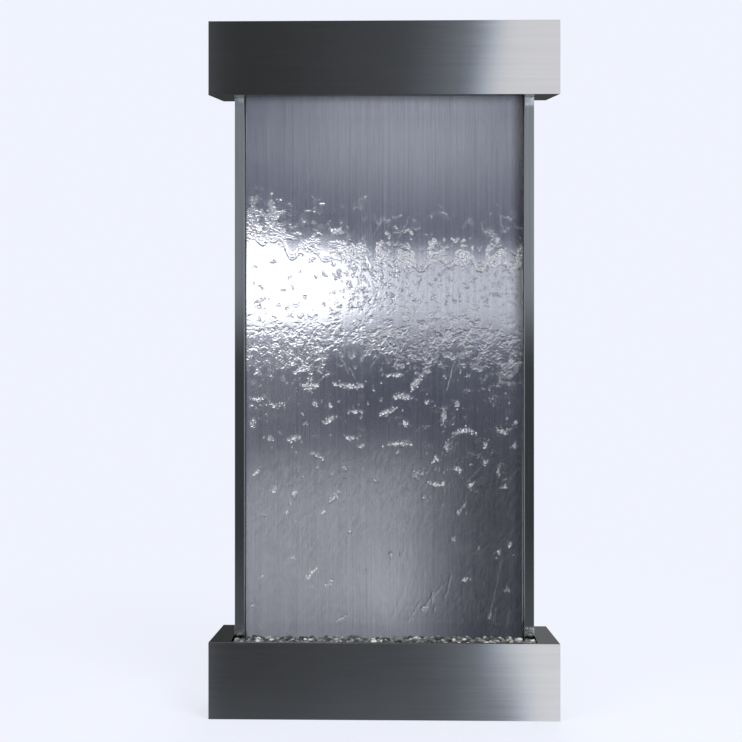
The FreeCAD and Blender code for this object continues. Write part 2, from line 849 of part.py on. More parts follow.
keep(
    cut(
        join(
            cylinder(d.pipe_radius + 3, 46, -23, pipe_y, d.pipe_z, "+x"),
            cylinder(12.8, d.pipe_y - 72, 0, pipe_y, d.pipe_z, "+y"),
        ),
        cylinder(d.pipe_radius + 0.1, 19, 4.5, pipe_y, d.pipe_z, "+x"),
        cylinder(d.pipe_radius + 0.1, 19, -4.5, pipe_y, d.pipe_z, "-x"),
        cylinder(d.pipe_bore, 12, -6, pipe_y, d.pipe_z, "+x"),
        cylinder(5, 20, 0, pipe_y, d.pipe_z, "+y"),
        cylinder(9.6, 12, 0, wall(77.2), d.pipe_z, "+y"),
    ),
    "feed_tee",
)
keep(
    cut(
        join(
            cylinder(9.5, 77 - d.riser_y, 0, riser_y, d.pipe_z, "-y"),
            cylinder(9.5, 12, 0, riser_y, d.pipe_z - 12),
            ball(9.5, 0, riser_y, d.pipe_z),
            cylinder(6, 20, 0, riser_y, d.pipe_z - 30),
        ),
        cylinder(4.5, 40, 0, riser_y, d.pipe_z, "-y"),
        cylinder(4.5, 40, 0, riser_y, d.pipe_z - 40),
        ball(4.5, 0, riser_y, d.pipe_z),
    ),
    "feed_elbow",
)
saddles = []
saddle_screws = []
for x in (-320, -110, 110, 320):
    saddles.append(
        cut(
            join(
                box(x - 10, x + 10, pipe_y, wall(24), d.beam_high_z, d.beam_high_z + 2),
                cylinder(d.pipe_radius + 2.2, 20, x - 10, pipe_y, d.pipe_z, "+x"),
            ),
            cylinder(d.pipe_radius + 0.1, 24, x - 12, pipe_y, d.pipe_z, "+x"),
            cylinder(2.1, 8, x, wall(32), d.beam_high_z - 2),
        )
    )
    saddle_screws.append(screw(x, wall(32), d.beam_high_z + 2, "+z", 3.6, 2.4, 2.0, 8))
group("pipe_saddles", *saddles)
group("pipe_saddle_screws", *saddle_screws)
keep(
    cut(
        cylinder(d.hose_radius, d.hose_high_z - d.hose_low_z, 0, riser_y, d.hose_low_z),
        cylinder(d.hose_bore, d.hose_high_z - d.hose_low_z + 4, 0, riser_y, d.hose_low_z - 2),
    ),
    "riser_hose",
)
plate_back = wall(d.glass_front - d.glass_thick - d.backing_thick)
group(
    "hose_clips",
    *[
        cut(
            join(
                box(-12, 12, plate_back, plate_back + 4.6, z - 9, z + 9),
                cylinder(d.hose_radius + 2, 14, 0, riser_y, z - 7),
            ),
            cylinder(d.hose_radius + 0.1, 20, 0, riser_y, z - 10),
        )
        for z in (400, 800, 1200, 1560)
    ],
)
group(
    "hose_clamps",
    *[
        cut(
            join(
                cylinder(d.hose_radius + 1.2, 9, 0, riser_y, z - 4.5),
                box(-7, 7, riser_y + d.hose_radius + 0.6, riser_y + d.hose_radius + 6, z - 4, z + 4),
            ),
            cylinder(d.hose_radius + 0.1, 12, 0, riser_y, z - 6),
        )
        for z in (d.hose_low_z + 10, d.hose_high_z - 9)
    ],
)

# ---- pump: magnet-driven, lying on rubber feet under the panel -------------------
py = wall(d.pump_y)
pz = d.pump_z
block = fillet(
    box(-78, -13, py - 28, py + 28, 6, 62), 7, lambda e: abs(e.tangentAt(e.FirstParameter).x) > 0.99
)
ribs = [box(-70 + 12 * i, -66 + 12 * i, py - 29, py + 29, 16, 52) for i in range(5)]
keep(
    cut(
        join(block, *ribs),
        cylinder(11.5, 60, -73, py, pz, "+x"),
    ),
    "pump_motor_housing",
)
keep(
    cut(
        join(
            cylinder(30, 26, -13, py, pz, "+x"),
            cylinder(9, 32, 0, riser_y, pz),
            cylinder(6, 56, 0, riser_y, pz),
            cylinder(6.15, 2, 0, riser_y, pz + 50),
        ),
        cylinder(25, 24, -10, py, pz, "+x"),
        cylinder(11.5, 30, -20, py, pz, "+x"),
        cylinder(4.4, 70, 0, riser_y, pz),
    ),
    "pump_volute",
)
slots = []
for i in range(12):
    slot = box(17, 26, -2, 2, 20, 34)
    slot.Placement = FreeCAD.Placement(Vector(0, 0, 0), Rotation())
    turned = doc.addObject("Part::Compound", fresh("slot"))
    turned.Links = [slot]
    slot.setExpression("Placement.Base.x", "(17.0)")
    slot.setExpression("Placement.Base.y", "(-2.0)")
    slot.setExpression("Placement.Base.z", "(20.0)")
    turned.Placement = FreeCAD.Placement(Vector(0, 0, 0), Rotation(Vector(1, 0, 0), 30 * i))
    bind(turned, "Placement.Base.y", py)
    bind(turned, "Placement.Base.z", pz)
    slots.append(turned)
cup = cut(
    cylinder(30, 18, 13, py, pz, "+x"),
    cylinder(27, 15, 13, py, pz, "+x"),
)
windows = [cylinder(3.5, 6, 27, py + 15 * math.cos(a), pz + 15 * math.sin(a), "+x")
           for a in (math.pi * 0.25, math.pi * 0.5, math.pi * 0.75)]
keep(
    join(
        cut(cup, *(slots + windows)),
        cylinder(4, 16, 13, py, pz, "+x"),
        cylinder(3, 5, 30.5, py, pz, "+x"),
    ),
    "pump_intake_strainer",
)
keep(
    join(
        cut(
            cylinder(24, 3, 31.2, py, pz, "+x"),
            cylinder(3.06, 6, 30, py, pz, "+x"),
            *[cylinder(3.5, 6, 30, py + 15 * math.cos(a), pz + 15 * math.sin(a), "+x")
              for a in (math.pi * 0.25, math.pi * 0.5, math.pi * 0.75)],
        ),
        cut(
            join(
                box(34, 41, py - 16, py + 16, pz - 2, pz + 2),
                cylinder(7, 4, 34, py, pz, "+x"),
            ),
            cylinder(3.4, 3, 33, py, pz, "+x"),
        ),
    ),
    "flow_regulator_dial",
)
vanes = []
for i in range(6):
    vane = box(-3.5, 8, -0.9, 0.9, 4.5, 21.5)
    vane.setExpression("Placement.Base.x", "(-3.5)")
    holder = doc.addObject("Part::Compound", fresh("vane"))
    holder.Links = [vane]
    holder.Placement = FreeCAD.Placement(Vector(0, 0, 0), Rotation(Vector(1, 0, 0), 60 * i))
    bind(holder, "Placement.Base.y", py)
    bind(holder, "Placement.Base.z", pz)
    vanes.append(holder)
keep(
    cut(
        join(cylinder(22, 2.5, -6, py, pz, "+x"), cylinder(5.5, 14, -6, py, pz, "+x"), *vanes),
        cylinder(1.58, 20, -8, py, pz, "+x"),
    ),
    "impeller",
)
keep(
    cut(
        cylinder(10.5, 58, -64.5, py, pz, "+x"),
        cylinder(1.58, 64, -68, py, pz, "+x"),
    ),
    "rotor_magnet",
)
keep(cylinder(1.5, 85.8, -72.9, py, pz, "+x"), "impeller_shaft")
group(
    "pump_feet",
    *[
        join(
            cone(8, 4, 4.5 - 1.0, x, y, d.gauge),
            cylinder(4, 4.5 - 2.5, x, y, d.gauge + 2.5),
        )
        for x in (-66, -25)
        for y in (py - 16, py + 16)
    ],
)

# ---- pebble bench and the bed of pebbles ------------------------------------------
y_front = front(4)
y_leg = wall(106)
y_rear = wall(d.glass_front + 5)
g = d.gauge
bench = lengthways(
    [
        (y_front, g),
        (y_front + g, g),
        (y_front + g, d.bench_z),
        (y_leg - g, d.bench_z),
        (y_leg - g, g),
        (y_leg, g),
        (y_leg, d.bench_z),
        (y_rear, d.bench_z),
        (y_rear, d.bench_z + g),
        (y_front, d.bench_z + g),
    ],
    d.bench_half * 2,
)
inn = d.rail_half - d.rail_face
sk = sketch_on(bench, "XY_Plane")
outline(sk, rectangle(inn - 4, d.bench_half + 5, wall(d.rail_front + 3), y_rear + 5))
outline(sk, rectangle(-d.bench_half - 5, -(inn - 4), wall(d.rail_front + 3), y_rear + 5))
pocket(bench, sk)
sk = sketch_on(bench, "XY_Plane")
circle(sk, -(d.bench_half - 25), y_front + 17, 4.5)
hole = pocket(bench, sk)
row_of(bench, hole, "X_Axis", d.bench_half * 2 - 50, 31, "Y_Axis", 40, 3)
sk = sketch_on(bench, "XZ_Plane")
outline(sk, rectangle(-(d.bench_half - 20), -(d.bench_half - 70), 20, 110))
window = pocket(bench, sk)
row_of(bench, window, "X_Axis", d.bench_half * 2 - 90, 9)
keep(bench, "pebble_bench")
top = d.bench_z + g
keep(
    upright(
        [
            (-d.bench_half, y_front),
            (d.bench_half, y_front),
            (d.bench_half, wall(d.rail_front + 3)),
            (inn - 4, wall(d.rail_front + 3)),
            (inn - 4, y_rear),
            (-(inn - 4), y_rear),
            (-(inn - 4), wall(d.rail_front + 3)),
            (-d.bench_half, wall(d.rail_front + 3)),
        ],
        top,
        d.pebble_top_z,
    ),
    "pebble_bed",
)

doc.recompute()

# ---- look every piece over, then write it ----------------------------------------
for obj in doc.Objects:
    if "Invalid" in obj.State or "Error" in obj.State:
        raise RuntimeError("%s (%s) is %s" % (obj.Name, obj.Label, obj.State))
for obj in nodes:
    shape = obj.Shape
    if shape.isNull() or not shape.isValid() or not shape.Solids:
        raise RuntimeError("%s has no sound shape" % obj.Label)
    shape.exportStep("parts/%s.step" % obj.Label)
    b = shape.BoundBox
    print(
        "%-26s solids %3d volume %10.0f  x %7.1f %7.1f  y %6.1f %6.1f  z %7.1f %7.1f"
        % (obj.Label, len(shape.Solids), shape.Volume, b.XMin, b.XMax, b.YMin, b.YMax, b.ZMin, b.ZMax)
    )
print(len(nodes), "nodes")
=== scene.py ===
import json
import math

import bmesh
import bpy
import numpy as np
from mathutils import Euler, Matrix, Vector, noise as vnoise


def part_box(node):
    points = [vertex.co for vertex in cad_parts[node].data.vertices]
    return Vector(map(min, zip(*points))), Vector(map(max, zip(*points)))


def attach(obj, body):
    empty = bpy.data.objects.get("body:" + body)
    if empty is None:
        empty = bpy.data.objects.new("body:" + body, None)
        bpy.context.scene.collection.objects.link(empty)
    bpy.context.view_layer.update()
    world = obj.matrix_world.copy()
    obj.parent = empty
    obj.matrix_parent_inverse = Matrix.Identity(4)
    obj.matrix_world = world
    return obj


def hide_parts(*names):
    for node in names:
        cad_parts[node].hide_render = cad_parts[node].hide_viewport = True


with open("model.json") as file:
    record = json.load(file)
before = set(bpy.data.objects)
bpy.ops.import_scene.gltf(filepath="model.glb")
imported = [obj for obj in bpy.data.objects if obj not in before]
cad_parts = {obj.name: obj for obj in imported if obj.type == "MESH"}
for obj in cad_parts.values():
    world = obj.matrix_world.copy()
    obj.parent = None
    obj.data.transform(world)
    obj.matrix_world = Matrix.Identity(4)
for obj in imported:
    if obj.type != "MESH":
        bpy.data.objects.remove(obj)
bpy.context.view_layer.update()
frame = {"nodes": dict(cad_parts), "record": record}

NODES = frame["nodes"]
scene = bpy.context.scene

# ---------------------------------------------------------------------------
# camera: level, 3.03 m in front of the hood, turned one degree to the left
# ---------------------------------------------------------------------------
CAM_X, CAM_Y, CAM_Z = 0.0235, -3.1154, 1.0132
camera_data = bpy.data.cameras.new("camera")
camera_data.sensor_fit = "HORIZONTAL"
camera_data.sensor_width = 36.0
camera_data.lens = 58.16
camera_data.shift_x = 0.0
camera_data.shift_y = -0.0701
camera_data.clip_start = 0.05
camera_data.clip_end = 100.0
camera = bpy.data.objects.new("camera", camera_data)
camera.location = (CAM_X, CAM_Y, CAM_Z)
camera.rotation_euler = (math.radians(90.0), 0.0, 0.0185)
scene.collection.objects.link(camera)
scene.camera = camera
scene.view_settings.view_transform = "Standard"
scene.view_settings.look = "None"


# ---------------------------------------------------------------------------
# node helpers
# ---------------------------------------------------------------------------
class Graph:
    """Short ways to add and join shader nodes."""

    def __init__(self, tree):
        self.tree = tree

    def add(self, kind, **settings):
        node = self.tree.nodes.new(kind)
        for key, value in settings.items():
            setattr(node, key, value)
        return node

    def put(self, socket, value):
        if isinstance(value, bpy.types.NodeSocket):
            self.tree.links.new(value, socket)
        elif value is not None:
            socket.default_value = value

    def math(self, operation, a, b=None, c=None):
        node = self.add("ShaderNodeMath", operation=operation)
        for socket, value in zip(node.inputs, (a, b, c)):
            self.put(socket, value)
        return node.outputs[0]

    def plus(self, *terms):
        total = terms[0]
        for term in terms[1:]:
            total = self.math("ADD", total, term)
        return total

    def times(self, *terms):
        total = terms[0]
        for term in terms[1:]:
            total = self.math("MULTIPLY", total, term)
        return total

    def vector(self, operation, a, b=None):
        node = self.add("ShaderNodeVectorMath", operation=operation)
        self.put(node.inputs[0], a)
        self.put(node.inputs[1], b)
        return node.outputs["Value"] if operation in ("DOT_PRODUCT", "LENGTH") else node.outputs[0]

    def step(self, value, low, high, bottom=0.0, top=1.0):
        """Smooth step from bottom at low to top at high."""
        node = self.add("ShaderNodeMapRange", interpolation_type="SMOOTHSTEP")
        for name, v in (("Value", value), ("From Min", low), ("From Max", high), ("To Min", bottom), ("To Max", top)):
            self.put(node.inputs[name], v)
        return node.outputs[0]

    def span(self, value, low, high, bottom, top):
        """Straight ramp, clamped."""
        node = self.add("ShaderNodeMapRange", interpolation_type="LINEAR", clamp=True)
        for name, v in (("Value", value), ("From Min", low), ("From Max", high), ("To Min", bottom), ("To Max", top)):
            self.put(node.inputs[name], v)
        return node.outputs[0]

    def window(self, value, a, b, c, d):
        return self.times(self.step(value, a, b), self.step(value, c, d, 1.0, 0.0))

    def split(self, vector):
        node = self.add("ShaderNodeSeparateXYZ")
        self.put(node.inputs[0], vector)
        return node.outputs

    def noise(self, vector, scale=1.0, detail=3.0, roughness=0.55, distortion=0.0):
        node = self.add("ShaderNodeTexNoise", noise_dimensions="3D")
        self.put(node.inputs["Vector"], vector)
        node.inputs["Scale"].default_value = scale
        node.inputs["Detail"].default_value = detail
        node.inputs["Roughness"].default_value = roughness
        node.inputs["Distortion"].default_value = distortion
        return node.outputs["Fac"]

    def blend(self, factor, a, b, kind="RGBA", mode="MIX"):
        node = self.add("ShaderNodeMix", data_type=kind)
        if kind == "RGBA":
            node.blend_type = mode
        self.put(node.inputs[0], factor)
        i, j = {"RGBA": (6, 7), "VECTOR": (4, 5), "FLOAT": (2, 3)}[kind]
        k = {"RGBA": 2, "VECTOR": 1, "FLOAT": 0}[kind]
        self.put(node.inputs[i], (*a, 1.0) if kind == "RGBA" and isinstance(a, tuple) else a)
        self.put(node.inputs[j], (*b, 1.0) if kind == "RGBA" and isinstance(b, tuple) else b)
        return node.outputs[k]

    def bump(self, height, strength, distance, normal=None):
        node = self.add("ShaderNodeBump")
        node.inputs["Strength"].default_value = strength
        node.inputs["Distance"].default_value = distance
        self.put(node.inputs["Height"], height)
        self.put(node.inputs["Normal"], normal)
        return node.outputs[0]

    def where(self):
        return self.add("ShaderNodeTexCoord").outputs["Object"]

    def facing(self):
        return self.add("ShaderNodeNewGeometry").outputs["Normal"]


def new_material(name):
    material = bpy.data.materials.new(name)
    material.use_nodes = True
    tree = material.node_tree
    for node in list(tree.nodes):
        tree.nodes.remove(node)
    graph = Graph(tree)
    out = graph.add("ShaderNodeOutputMaterial")
    shader = graph.add("ShaderNodeBsdfPrincipled")
    tree.links.new(shader.outputs[0], out.inputs["Surface"])
    return material, graph, shader


def shade(colour, k):
    return tuple(min(1.0, max(0.0, c * k)) for c in colour)


# ---------------------------------------------------------------------------
# materials
# ---------------------------------------------------------------------------
def brushed(name, colour, rough, aniso, grain, depth=0.07, contrast=0.10, ends=False, lines=620.0, bands=90.0, side_rough=None):
    """Brushed stainless. grain is the axis of the scratches; ends turns it round on faces that look along X, and
    side_rough is the roughness of those faces where they are duller."""
    material, g, shader = new_material(name)
    place, normal = g.where(), g.facing()
    axis = {"x": (1.0, 0.0, 0.0), "y": (0.0, 1.0, 0.0), "z": (0.0, 0.0, 1.0)}[grain]
    fine = {"x": (5.0, lines, lines), "y": (lines, 5.0, lines), "z": (lines, lines, 5.0)}
    broad = {"x": (1.6, bands, bands), "y": (bands, 1.6, bands), "z": (bands, bands, 1.6)}
    if ends:
        side = g.math("GREATER_THAN", g.math("ABSOLUTE", g.split(normal)[0]), 0.7)
        along = g.blend(side, axis, (0.0, 1.0, 0.0), "VECTOR")
        fine_scale = g.blend(side, fine[grain], fine["y"], "VECTOR")
        broad_scale = g.blend(side, broad[grain], broad["y"], "VECTOR")
    else:
        along, fine_scale, broad_scale = axis, fine[grain], broad[grain]
    scratches = g.noise(g.vector("MULTIPLY", place, fine_scale), 1.0, 3.0, 0.6)
    streaks = g.noise(g.vector("MULTIPLY", place, broad_scale), 1.0, 2.0, 0.5)
    cloud = g.noise(place, 6.5, 3.0, 0.5)
    tone = g.plus(g.times(scratches, 0.45), g.times(streaks, 0.35), g.times(cloud, 0.20))
    g.put(shader.inputs["Base Color"], g.blend(g.span(tone, 0.3, 0.7, 0.0, 1.0), shade(colour, 1 - contrast), shade(colour, 1 + contrast)))
    shader.inputs["Metallic"].default_value = 1.0
    uneven = g.plus(g.times(scratches, 0.6), g.times(cloud, 0.4))
    roughness = g.span(uneven, 0.3, 0.7, rough - 0.035, rough + 0.035)
    if side_rough is not None:
        side = g.math("GREATER_THAN", g.math("ABSOLUTE", g.split(normal)[0]), 0.7)
        roughness = g.blend(side, roughness, g.span(uneven, 0.3, 0.7, side_rough - 0.06, side_rough + 0.06), "FLOAT")
    g.put(shader.inputs["Roughness"], roughness)
    shader.inputs["Anisotropic"].default_value = aniso
    g.put(shader.inputs["Tangent"], g.vector("NORMALIZE", g.vector("CROSS_PRODUCT", normal, along)))
    g.put(shader.inputs["Normal"], g.bump(scratches, depth, 0.00012))
    return material


def moulded(name, colour, rough, grain=900.0, depth=0.12, metallic=0.0, contrast=0.14, coat=0.0, specular=0.5):
    """Moulded plastic, rubber or cast metal: faint mottling, a fine surface texture and dust in the cloudier places."""
    material, g, shader = new_material(name)
    place = g.where()
    texture = g.noise(place, grain, 2.0, 0.6)
    mottle = g.noise(place, 34.0, 4.0, 0.6)
    cloud = g.noise(place, 9.0, 3.0, 0.55)
    tone = g.plus(g.times(texture, 0.25), g.times(mottle, 0.45), g.times(cloud, 0.30))
    g.put(shader.inputs["Base Color"], g.blend(g.span(tone, 0.32, 0.68, 0.0, 1.0), shade(colour, 1 - contrast), shade(colour, 1 + contrast)))
    g.put(shader.inputs["Roughness"], g.span(mottle, 0.3, 0.7, rough - 0.07, rough + 0.07))
    shader.inputs["Metallic"].default_value = metallic
    shader.inputs["Specular IOR Level"].default_value = specular
    shader.inputs["Coat Weight"].default_value = coat
    g.put(shader.inputs["Normal"], g.bump(texture, depth, 0.0003))
    return material


def clear(name, colour, ior, rough, smear, ripple=0.0):
    """Glass, hose or water, with faint smears that change the roughness."""
    material, g, shader = new_material(name)
    place = g.where()
    haze = g.noise(place, 14.0, 4.0, 0.6)
    g.put(shader.inputs["Base Color"], g.blend(haze, shade(colour, 0.985), colour))
    g.put(shader.inputs["Roughness"], g.span(haze, 0.35, 0.75, rough, rough + smear))
    shader.inputs["IOR"].default_value = ior
    shader.inputs["Transmission Weight"].default_value = 1.0
    if ripple:
        g.put(shader.inputs["Normal"], g.bump(g.noise(place, 420.0, 2.0, 0.5), ripple, 0.0002))
    return material


def running_water():
    """Clear water, white and dull where the foam layer says that it is full of air."""
    material, g, shader = new_material("running_water")
    place = g.where()
    foam = g.split(g.add("ShaderNodeVertexColor", layer_name="foam").outputs["Color"])[0]
    haze = g.noise(place, 14.0, 4.0, 0.6)
    grain = g.noise(place, 520.0, 2.0, 0.6)
    clear_tone = g.blend(haze, (0.970, 0.978, 0.985), (0.985, 0.992, 1.0))
    g.put(shader.inputs["Base Color"], g.blend(g.times(foam, g.span(grain, 0.3, 0.7, 1.0, 0.2)), clear_tone, (0.80, 0.82, 0.86)))
    g.put(shader.inputs["Roughness"], g.plus(g.span(haze, 0.35, 0.75, 0.0, 0.004), g.times(foam, 0.42)))
    shader.inputs["IOR"].default_value = 1.333
    g.put(shader.inputs["Transmission Weight"], g.math("SUBTRACT", 1.0, foam))
    return material


def pebble_stone():
    material, g, shader = new_material("river_pebbles")
    place = g.where()
    tint = g.add("ShaderNodeVertexColor", layer_name="tint").outputs["Color"]
    speck = g.noise(place, 1500.0, 3.0, 0.65)
    vein = g.noise(place, 240.0, 4.0, 0.6, 0.8)
    light = g.blend(g.span(speck, 0.36, 0.66, 0.0, 1.0), (0.62, 0.62, 0.62), (1.30, 1.29, 1.27))
    tone = g.blend(1.0, tint, light, mode="MULTIPLY")
    tone = g.blend(g.span(vein, 0.60, 0.72, 0.0, 0.30), tone, (0.55, 0.54, 0.52))
    g.put(shader.inputs["Base Color"], tone)
    g.put(shader.inputs["Roughness"], g.span(vein, 0.3, 0.7, 0.34, 0.62))
    shader.inputs["Coat Weight"].default_value = 0.35
    shader.inputs["Coat Roughness"].default_value = 0.12
    g.put(shader.inputs["Normal"], g.bump(speck, 0.25, 0.0005))
    return material


STEEL = (0.58, 0.585, 0.60)
MATERIALS = {
    "sheet_steel": brushed("brushed_sheet", STEEL, 0.14, 0.88, "x", depth=0.04, contrast=0.06, ends=True),
    "rail_steel": brushed("brushed_rail", (0.55, 0.58, 0.615), 0.17, 0.80, "z", depth=0.05, contrast=0.15, bands=170.0, side_rough=0.55),
    "satin_backing": brushed("satin_backing", (0.555, 0.565, 0.635), 0.115, 0.62, "z", depth=0.03, contrast=0.20, lines=640.0, bands=210.0),
    "inner_steel": brushed("mill_steel", (0.50, 0.51, 0.52), 0.34, 0.45, "x", ends=True),
    "screw_steel": brushed("bright_steel", (0.62, 0.62, 0.625), 0.24, 0.0, "z", depth=0.03),
    "clear_glass": clear("clear_glass", (0.965, 0.988, 0.978), 1.5, 0.0, 0.006),
    "water": running_water(),
    "black_rubber": moulded("black_rubber", (0.022, 0.022, 0.023), 0.66, 700.0, 0.18),
    "dark_plastic": moulded("dark_plastic", (0.055, 0.056, 0.060), 0.46, 1100.0, 0.15),
    "white_pipe": moulded("white_pipe", (0.76, 0.76, 0.735), 0.38, 300.0, 0.05, contrast=0.05),
    "clear_hose": clear("clear_hose", (0.80, 0.85, 0.84), 1.45, 0.10, 0.08),
    "pump_plastic": moulded("pump_plastic", (0.030, 0.033, 0.037), 0.52, 1400.0, 0.30),
    "dial_plastic": moulded("dial_plastic", (0.060, 0.130, 0.330), 0.34, 900.0, 0.08),
    "magnet": moulded("sintered_magnet", (0.11, 0.11, 0.115), 0.55, 1800.0, 0.30, metallic=0.6),
    "ceramic_pin": moulded("ground_ceramic", (0.84, 0.83, 0.79), 0.25, 2000.0, 0.05, contrast=0.04),
    "lamp_metal": moulded("dark_anodised", (0.060, 0.060, 0.064), 0.36, 1600.0, 0.10, metallic=0.85),
    "lamp_glass": clear("pressed_glass", (0.95, 0.96, 0.95), 1.5, 0.04, 0.05),
    "pebble_stone": pebble_stone(),
}
SLOT_OF = {}
for part in frame["record"]["subparts"]:
    SLOT_OF[part.get("node") or part.get("name")] = part.get("material_slot") or part.get("slot") or part.get("material")


def shaded_strip(material):
    """Darken the panel's right edge, where the rail keeps the side light off it, most in the upper half."""
    g = Graph(material.node_tree)
    shader = next(n for n in material.node_tree.nodes if n.type == "BSDF_PRINCIPLED")
    link = shader.inputs["Base Color"].links[0]
    x, _, z = g.split(g.where())
    keep = g.step(x, 0.326, 0.359, 0.0, 1.0)
    strength = g.span(z, 0.80, 1.05, 0.36, 0.86)
    dimmed = g.blend(g.times(keep, strength), link.from_socket, (0.02, 0.02, 0.02))
    g.put(shader.inputs["Base Color"], dimmed)


shaded_strip(MATERIALS["satin_backing"])
for name, obj in NODES.items():
    obj.data.materials.clear()
    obj.data.materials.append(MATERIALS[SLOT_OF[name]])


# ---------------------------------------------------------------------------
# folded sheet with soft edges: pieces that stand for the sharp-edged solids
# ---------------------------------------------------------------------------
SHOWN = dict(NODES)
for name, body, width in (
    ("hood_shell", "hood", 0.0007),
    ("side_rail_left", "frame", 0.0009),
    ("side_rail_right", "frame", 0.0009),
    ("tray_front", "frame", 0.0006),
    ("tray_rim", "frame", 0.0005),
):
    piece = bpy.data.objects.new(name + "_folded", NODES[name].data.copy())
    scene.collection.objects.link(piece)
    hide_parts(name)
    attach(piece, body)
    SHOWN[name] = piece
    weld = piece.modifiers.new("weld", "WELD")
    weld.merge_threshold = 0.00001
    bevel = piece.modifiers.new("fold", "BEVEL")
    bevel.width = width
    bevel.segments = 2
    bevel.limit_method = "ANGLE"
    bevel.angle_limit = math.radians(50)
    bevel.harden_normals = True


def mesh_object(name, verts, faces, smooth=True):
    mesh = bpy.data.meshes.new(name)
    mesh.from_pydata(verts, [], faces)
    mesh.update()
    if smooth:
        mesh.polygons.foreach_set("use_smooth", [True] * len(mesh.polygons))
    obj = bpy.data.objects.new(name, mesh)
    scene.collection.objects.link(obj)
    return obj


# ---------------------------------------------------------------------------
# water film: a sheet of real ripples
# ---------------------------------------------------------------------------
def gradient_noise(x, z, seed):
    """Smooth noise about -0.7 to 0.7, one bump per unit, the same each run."""
    xi, zi = np.floor(x).astype(np.int64), np.floor(z).astype(np.int64)
    xf, zf = x - xi, z - zi

    def corner(i, j):
        h = (xi + i) * 374761393 + (zi + j) * 668265263 + seed * 974634777
        h = (h ^ (h >> 13)) & 0xFFFFFFFF
        h = (h * 1274126177) & 0xFFFFFFFF
        h = (h ^ (h >> 16)) & 0xFFFF
        turn = h * (2 * math.pi / 65536)
        return np.cos(turn) * (xf - i) + np.sin(turn) * (zf - j)

    sx = xf * xf * xf * (xf * (xf * 6 - 15) + 10)
    sz = zf * zf * zf * (zf * (zf * 6 - 15) + 10)
    low = corner(0, 0) * (1 - sx) + corner(1, 0) * sx
    high = corner(0, 1) * (1 - sx) + corner(1, 1) * sx
    return low * (1 - sz) + high * sz


def smoothstep(v, a, b):
    t = np.clip((v - a) / (b - a), 0.0, 1.0)
    return t * t * (3 - 2 * t)


